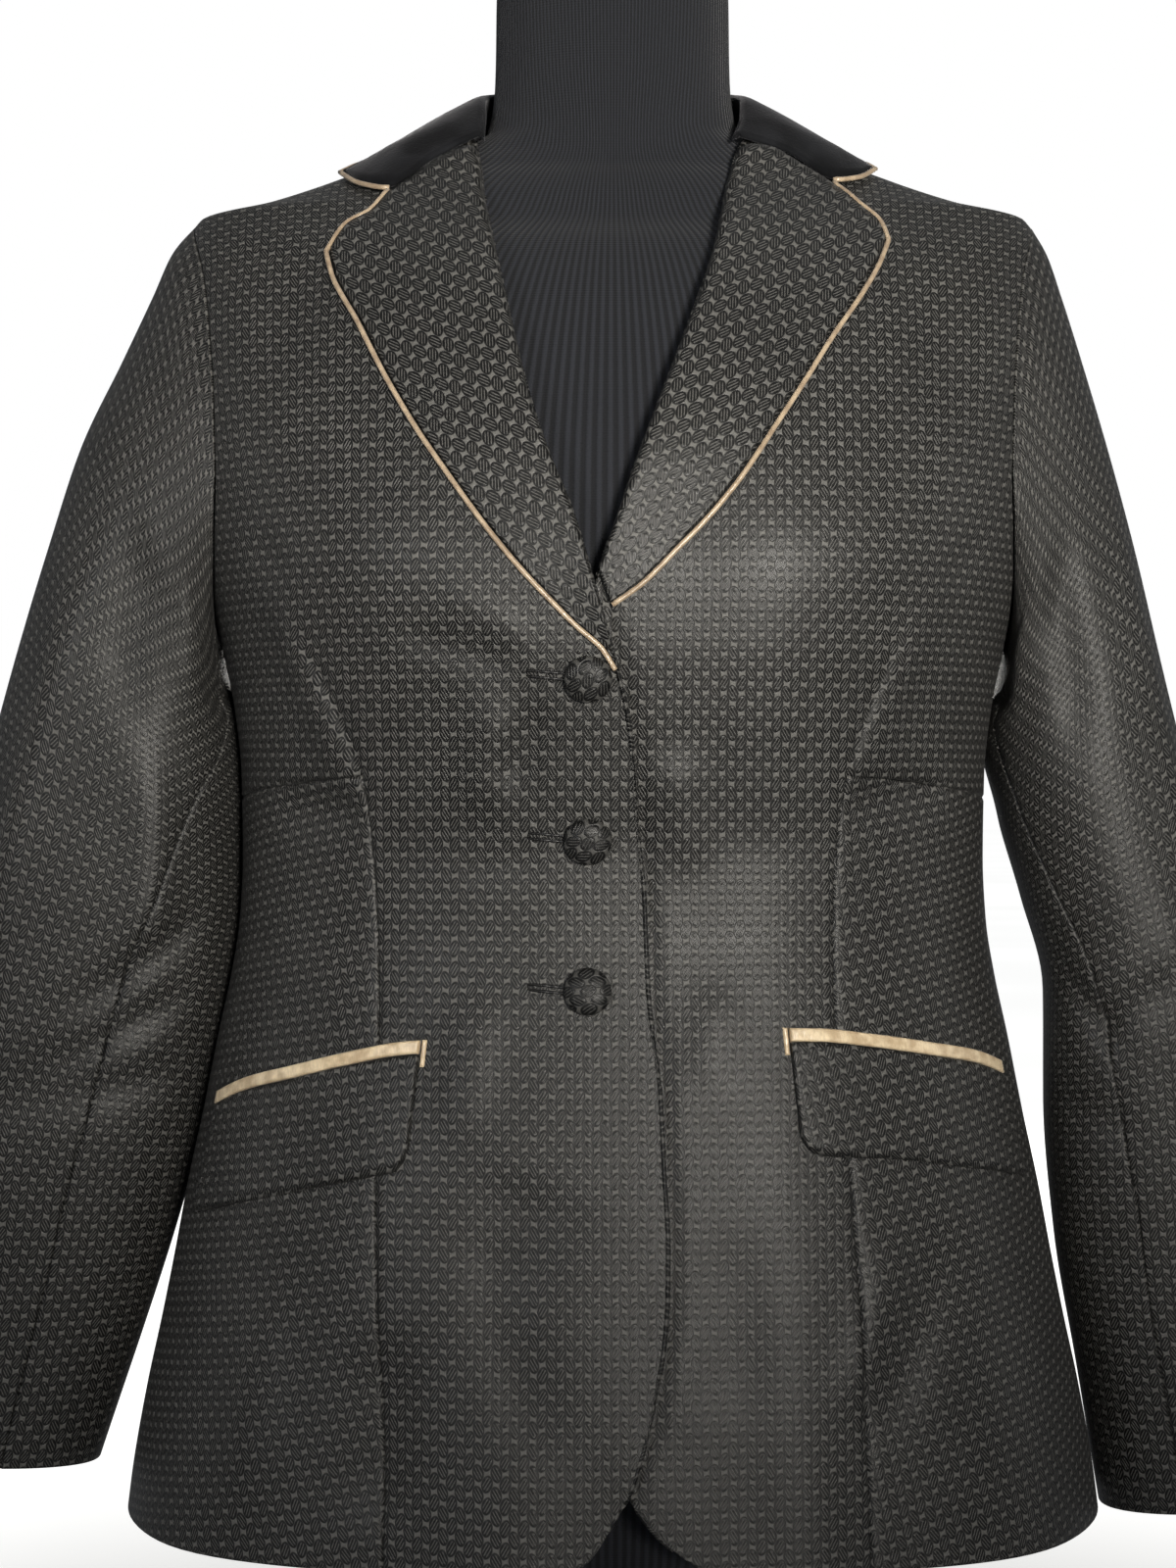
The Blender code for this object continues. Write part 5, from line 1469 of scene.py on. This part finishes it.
# The cloth's woven repeat: staggered ovals of diagonal ribs in a lighter net.
REPEAT = (0.0080, 0.0093, 1.0)
OVAL_HALF = (0.00248, 0.00385)
OVAL_POWER = 1.9
OVAL_LEAN_DEG = 12.0
OVAL_RIM = (1.12, 0.92)  # from the net to the oval, as shares of its half sizes
RIB_LEAN_DEG = 60.0
RIB_PITCH = 0.00125
RIB_ENDS = (0.90, 0.62)  # where the ribs fade out and are full
SWAY_SCALE = 40.0
SWAY = (0.0009, 0.0009, 0.0)  # how far the weave wanders from its lines
KNOT_STRETCH = 1.3
KNOT_RIM = (0.36, 0.08)
CLOTH_TINT = (1.0, 0.975, 0.90)
NET_TONES = (0.098, 0.145)  # of the net, and where four ovals meet
FLOAT_TONES = (0.0030, 0.076)  # between the ribs and on them
NET_ROUGH = 0.56
OVAL_ROUGH = 0.42
THREAD_SCALE = 1500.0
THREAD_SHADE = (0.3, 0.7, 0.82, 1.16)  # from and to these values
BROAD_SCALE = 22.0
BROAD_SHADE = (0.3, 0.7, 0.92, 1.08)
RIB_RISE = 0.5
OVAL_SINK = 0.75
KNOT_RISE = 0.35
# Each relief's strength and its height in metres.
WEAVE_BUMP = (0.8, 0.00040)
VELVET_BUMP = (0.35, 0.0006)
SATIN_BUMP = (0.5, 0.0012)
JERSEY_BUMP = (0.7, 0.0006)
THREAD_BUMP = (0.6, 0.0003)
PAINT_BUMP = (0.15, 0.0004)
# The buttons' cloth darkened all over, a painted shade.
BUTTON_PAINTED_SHADE = 0.55
# Each satin's own tone and, lighter, a painted highlight that its raised puckers take.
SATIN_TONE_AND_HIGHLIGHT = ((0.50, 0.37, 0.22, 1.0), (0.80, 0.65, 0.43, 1.0))
# The same champagne satin darkened for the piping, a painted shade, with its painted highlight.
PIPING_SHADED_TONE_AND_HIGHLIGHT = ((0.27, 0.195, 0.125, 1.0), (0.44, 0.34, 0.225, 1.0))
TWILL_STRETCH = (1400.0, 350.0, 1.0)
PUCKER_AND_SHEEN_SCALE = 170.0
TWILL_SHADE = 0.55  # of the satin's dark tone, between its threads
VELVET_TONES = ((0.0035, 0.0037, 0.0042, 1.0), (0.011, 0.0115, 0.013, 1.0))
PILE_SCALE = 900.0
CRUSH_SCALE = 45.0
VELVET_SHEEN = (0.62, 0.62, 0.66, 1.0)
JERSEY_TONES = ((0.004, 0.0045, 0.006, 1.0), (0.014, 0.0155, 0.020, 1.0))
JERSEY_RIB = 0.0021
JERSEY_STITCH = 0.0012
FLUFF_SCALE = 700.0
THREAD_TONES = ((0.0012, 0.0012, 0.0012, 1.0), (0.012, 0.0115, 0.011, 1.0))
STITCH_PITCH = 0.00055
GRAIN_SCALE = 380.0
WEAR_SCALE = 9.0
ROUGH_SPREAD = (-0.05, 0.07)  # of painted metal, about its roughness
POLE_TONES = ((0.03, 0.03, 0.032, 1.0), (0.055, 0.055, 0.058, 1.0))
BASE_TONES = ((0.022, 0.022, 0.024, 1.0), (0.034, 0.034, 0.037, 1.0))
FLOOR_TONES = ((0.80, 0.80, 0.79, 1.0), (0.84, 0.84, 0.83, 1.0))


def oval(graph, place, shift, lean_sign):
    """(how far inside its oval a point is, its ribs) for one of the two sets of ovals."""
    shifted = graph.vector("ADD", place, (shift, shift, 0.0))
    centred = graph.vector("SUBTRACT", graph.vector("FRACTION", shifted), (0.5, 0.5, 0.0))
    metres = graph.vector("MULTIPLY", centred, REPEAT)
    lean = math.radians(OVAL_LEAN_DEG) * lean_sign
    across = (math.cos(lean) / OVAL_HALF[0], -math.sin(lean) / OVAL_HALF[0], 0.0)
    along = (math.sin(lean) / OVAL_HALF[1], math.cos(lean) / OVAL_HALF[1], 0.0)
    x, y = (
        graph.math("ABSOLUTE", graph.vector("DOT_PRODUCT", metres, axis, out=1))
        for axis in (across, along)
    )
    powers = [graph.math("POWER", size, OVAL_POWER) for size in (x, y)]
    away = graph.math("SQRT", graph.math("ADD", *powers))
    lean = math.radians(RIB_LEAN_DEG)
    turns = 2 * math.pi / RIB_PITCH
    wave = graph.wave(metres, math.sin(lean) * turns, -math.cos(lean) * turns * lean_sign)
    ribs = graph.times(graph.fit(wave, -0.1, 0.9), graph.fit(away, *RIB_ENDS))
    return graph.fit(away, *OVAL_RIM), ribs


def shaded(tones, depth):
    """The cloth's warm black at these tones, as linear colours, scaled by depth: below 1 a painted
    shade.
    """
    return [(*(tone * depth * tint for tint in CLOTH_TINT), 1.0) for tone in tones]


# A depth below 1 darkens the whole cloth, a painted shade on the buttons.
def jacquard(name, depth=1.0):
    graph = Graph(name)
    flat = graph.uv()
    sway = graph.add("ShaderNodeTexNoise")
    sway.inputs["Scale"].default_value = SWAY_SCALE
    graph.put(sway.inputs["Vector"], flat)
    aside = graph.vector("SUBTRACT", sway.outputs["Color"], (0.5, 0.5, 0.5))
    swayed = graph.vector("ADD", flat, graph.vector("MULTIPLY", aside, SWAY))
    place = graph.vector("MULTIPLY", swayed, (1 / REPEAT[0], 1 / REPEAT[1], 0.0))
    inside_a, ribs_a = oval(graph, place, 0.0, 1.0)
    inside_b, ribs_b = oval(graph, place, 0.5, -1.0)
    inside = graph.math("MAXIMUM", inside_a, inside_b)
    both = graph.times(inside_a, ribs_a), graph.times(inside_b, ribs_b)
    ribs = graph.math("ADD", *both, clamp=True)
    # The net is brightest where four ovals meet side by side.
    halves = graph.vector("ADD", graph.vector("MULTIPLY", place, (2.0, 2.0, 0.0)), (0.5, 0.0, 0.0))
    centred = graph.vector("SUBTRACT", graph.vector("FRACTION", halves), (0.5, 0.5, 0.0))
    stretched = graph.vector("MULTIPLY", centred, (1.0, KNOT_STRETCH, 0.0))
    knot = graph.fit(graph.vector("LENGTH", stretched, out=1), *KNOT_RIM)
    net = graph.mix(knot, *shaded(NET_TONES, depth))
    floats = graph.mix(ribs, *shaded(FLOAT_TONES, depth))
    thread = graph.fit(graph.noise(flat, THREAD_SCALE, 2.0), *THREAD_SHADE)
    broad = graph.fit(graph.noise(flat, BROAD_SCALE, 2.0), *BROAD_SHADE)
    shade = graph.times(thread, broad)
    grey = graph.add("ShaderNodeCombineColor")
    for socket in grey.inputs[:3]:
        graph.put(socket, shade)
    colour = graph.mix(1.0, graph.mix(inside, net, floats), grey.outputs[0], "MULTIPLY")
    roughness = graph.fit(inside, 0.0, 1.0, NET_ROUGH, OVAL_ROUGH, smoothly=False)
    ribbed = graph.math("SUBTRACT", graph.times(ribs, RIB_RISE), OVAL_SINK)
    height = graph.math("ADD", graph.times(inside, ribbed), graph.times(knot, KNOT_RISE))
    return graph.finish(colour, roughness, graph.bump(height, *WEAVE_BUMP),
                        Sheen_Weight=0.02, Sheen_Roughness=0.4, Specular_IOR_Level=0.32)


def velvet():
    graph = Graph("velvet")
    place = graph.place()
    pile = graph.noise(place, PILE_SCALE, 2.0)
    crush = graph.noise(place, CRUSH_SCALE, 3.0)
    colour = graph.mix(graph.fit(crush, 0.35, 0.7), *VELVET_TONES)
    normal = graph.bump(graph.math("ADD", pile, graph.times(crush, 2.0)), *VELVET_BUMP)
    return graph.finish(colour, 0.95, normal, Sheen_Weight=0.22, Sheen_Roughness=0.35,
                        Sheen_Tint=VELVET_SHEEN, Specular_IOR_Level=0.1)


def satin(name, dark, light):
    graph = Graph(name)
    twill = graph.noise(graph.vector("MULTIPLY", graph.uv(), TWILL_STRETCH), 1.0, 2.0)
    pucker_and_sheen = graph.noise(graph.place(), PUCKER_AND_SHEEN_SCALE, 3.0)
    # The raised puckers take the lighter tone: partly the satin's own mottling, partly a painted
    # sheen.
    colour = graph.mix(graph.fit(pucker_and_sheen, 0.3, 0.7), dark, light)
    between = (*(TWILL_SHADE * tone for tone in dark[:3]), 1.0)
    colour = graph.mix(graph.fit(twill, 0.3, 0.7, 0.0, 0.25), colour, between)
    normal = graph.bump(graph.math("ADD", pucker_and_sheen, graph.times(twill, 0.2)), *SATIN_BUMP)
    return graph.finish(colour, 0.30, normal, Sheen_Weight=0.1, Specular_IOR_Level=0.7)


def jersey():
    graph = Graph("black_jersey")
    flat = graph.uv()
    rib = graph.fit(graph.wave(flat, 2 * math.pi / JERSEY_RIB, 0.0), -1.0, 1.0)
    stitch = graph.wave(flat, 0.0, 2 * math.pi / JERSEY_STITCH)
    fluff = graph.noise(graph.place(), FLUFF_SCALE, 3.0)
    tone = graph.math("ADD", rib, graph.times(fluff, 0.5))
    colour = graph.mix(graph.fit(tone, 0.2, 1.4), *JERSEY_TONES)
    height = graph.math("ADD", rib, graph.times(stitch, 0.12))
    return graph.finish(colour, 0.85, graph.bump(height, *JERSEY_BUMP),
                        Sheen_Weight=0.06, Sheen_Roughness=0.5, Specular_IOR_Level=0.3)


def thread():
    graph = Graph("buttonhole_thread")
    wave = graph.wave(graph.uv(), 0.0, 2 * math.pi / STITCH_PITCH)
    colour = graph.mix(graph.fit(wave, -1.0, 1.0), *THREAD_TONES)
    return graph.finish(colour, 0.45, graph.bump(wave, *THREAD_BUMP))


def painted(name, dark, light, roughness, metallic):
    graph = Graph(name)
    place = graph.place()
    grain = graph.noise(place, GRAIN_SCALE, 3.0)
    wear = graph.noise(place, WEAR_SCALE, 4.0)
    colour = graph.mix(graph.fit(wear, 0.35, 0.7), dark, light)
    low, high = (roughness + spread for spread in ROUGH_SPREAD)
    rough = graph.fit(grain, 0.3, 0.7, low, high)
    return graph.finish(colour, rough, graph.bump(grain, *PAINT_BUMP), Metallic=metallic)


def keep_node(name, made_of):
    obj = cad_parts[name]
    obj.data.materials.clear()
    obj.data.materials.append(made_of)


# The camera stands straight in front, level, and is fitted to a 1200 x 1600 picture.
CAMERA_PLACE = (-0.0119, -1.40, 0.485)
FOCAL_PIXELS = 2940.0
PICTURE_HEIGHT = 1600.0
SENSOR = 36.0
FLOOR_SIZE = 60.0
FLOOR_GLOW_AND_PAINTED_SHADOW = (0.45, 1.06)  # dimmer near the stand, a painted shadow round it, and full away from it
# Distances from the stand over which the painted shadow fades into the full glow.
PAINTED_SHADOW_REACH = (0.25, 0.9)
AIR_COLOUR = (0.92, 0.95, 1.0, 1.0)
AIR_STRENGTH = 0.16
BACKDROP = (1.0, 1.0, 1.0, 1.0)

# Columns: name, place, aim, size, spread_deg, watts, colour.
LIGHTS = (
    ("window", (0.62, -2.50, 0.66), (0.0, 0.0, 0.78), (0.5, 0.45), 34.0, 4.1, (1.0, 0.96, 0.89)),
    ("front_left", (-1.5, -2.4, 0.95), (0.0, 0.0, 0.60), (0.6, 0.6), 60.0, 1.6, (0.97, 0.98, 1.0)),
    ("side_left", (-2.6, -0.3, 0.9), (0.0, 0.0, 0.50), (0.7, 1.2), 180.0, 4.0, (1.0, 0.98, 0.95)),
    ("side_right", (2.6, -0.2, 0.8), (0.0, 0.0, 0.50), (0.7, 1.2), 180.0, 4.0, (1.0, 0.98, 0.95)),
    ("top", (0.2, -0.2, 3.0), (0.0, 0.0, 0.6), (2.0, 2.0), 180.0, 6.0, (1.0, 1.0, 1.0)),
    ("rear", (0.4, 2.8, 1.1), (0.0, 0.0, 0.5), (1.2, 1.0), 180.0, 26.0, (1.0, 0.97, 0.92)),
)


def aim(obj, target):
    way = np.array(target) - np.array(obj.location)
    flat = math.hypot(way[0], way[1])
    obj.rotation_euler = (math.pi / 2 + math.atan2(way[2], flat), 0.0, math.atan2(-way[0], way[1]))


def build_floor():
    bpy.ops.mesh.primitive_plane_add(size=FLOOR_SIZE, location=(0.0, 0.0, 0.0))
    floor = bpy.context.object
    floor.name = "floor"
    graph = Graph("floor")
    tone = graph.noise(graph.place(), 1.3, 2.0)
    colour = graph.mix(graph.fit(tone, 0.3, 0.7), *FLOOR_TONES)
    away = graph.vector("LENGTH", graph.place(), out=1)
    graph.put(graph.shader.inputs["Emission Color"], colour)
    # The floor glows evenly white away from the stand and dimmer near it: a painted shadow round
    # the stand.
    graph.put(graph.shader.inputs["Emission Strength"], graph.fit(away, *PAINTED_SHADOW_REACH, *FLOOR_GLOW_AND_PAINTED_SHADOW))
    floor.data.materials.append(graph.finish(colour, 0.9))
    floor.visible_diffuse = False
    floor.visible_glossy = False


def build_lights():
    for name, place, target, size, spread, watts, colour in LIGHTS:
        data = bpy.data.lights.new(name, "AREA")
        data.shape = "RECTANGLE"
        data.size, data.size_y = size
        data.spread = math.radians(spread)
        data.energy = watts
        data.color = colour
        light = bpy.data.objects.new(name, data)
        light.location = place
        aim(light, target)
        bpy.context.scene.collection.objects.link(light)


def build_world():
    """A dim, even light, behind which the backdrop is white."""
    world = bpy.data.worlds.new("studio")
    world.use_nodes = True
    tree = world.node_tree
    dim = tree.nodes["Background"]
    dim.inputs["Color"].default_value = AIR_COLOUR
    dim.inputs["Strength"].default_value = AIR_STRENGTH
    pale = tree.nodes.new("ShaderNodeBackground")
    pale.inputs["Color"].default_value = BACKDROP
    seen = tree.nodes.new("ShaderNodeLightPath")
    either = tree.nodes.new("ShaderNodeMixShader")
    tree.links.new(seen.outputs["Is Camera Ray"], either.inputs[0])
    tree.links.new(dim.outputs[0], either.inputs[1])
    tree.links.new(pale.outputs[0], either.inputs[2])
    tree.links.new(either.outputs[0], tree.nodes["World Output"].inputs[0])
    bpy.context.scene.world = world
    bpy.context.scene.view_settings.view_transform = "Standard"


def place_camera():
    data = bpy.data.cameras.new("camera")
    data.sensor_fit = "VERTICAL"
    data.sensor_height = SENSOR
    data.lens = FOCAL_PIXELS / PICTURE_HEIGHT * SENSOR
    camera = bpy.data.objects.new("camera", data)
    camera.location = CAMERA_PLACE
    camera.rotation_euler = (math.pi / 2, 0.0, 0.0)
    bpy.context.scene.collection.objects.link(camera)
    bpy.context.scene.camera = camera


def main():
    cloth_material = jacquard("jacquard")
    satin_material = satin("champagne_satin", *SATIN_TONE_AND_HIGHLIGHT)
    # The piping is the welts' satin darkened: a painted shade.
    shaded_piping_material = satin("piping_satin_painted_shade", *PIPING_SHADED_TONE_AND_HIGHLIGHT)
    build_fronts(cloth_material)
    build_backs(cloth_material)
    build_sleeves(cloth_material)
    build_lapels(cloth_material, shaded_piping_material)
    build_collar(velvet(), shaded_piping_material)
    build_pockets(cloth_material, satin_material)
    # The buttons' cloth is the coat's cloth darkened: a painted shade.
    build_buttons(jacquard("button_cloth", BUTTON_PAINTED_SHADE), thread())
    build_form(jersey())
    keep_node("pole", painted("pole_metal", *POLE_TONES, 0.32, 0.9))
    keep_node("base_plate", painted("base_paint", *BASE_TONES, 0.42, 0.2))
    build_floor()
    build_lights()
    build_world()
    place_camera()


main()
bpy.context.view_layer.update()
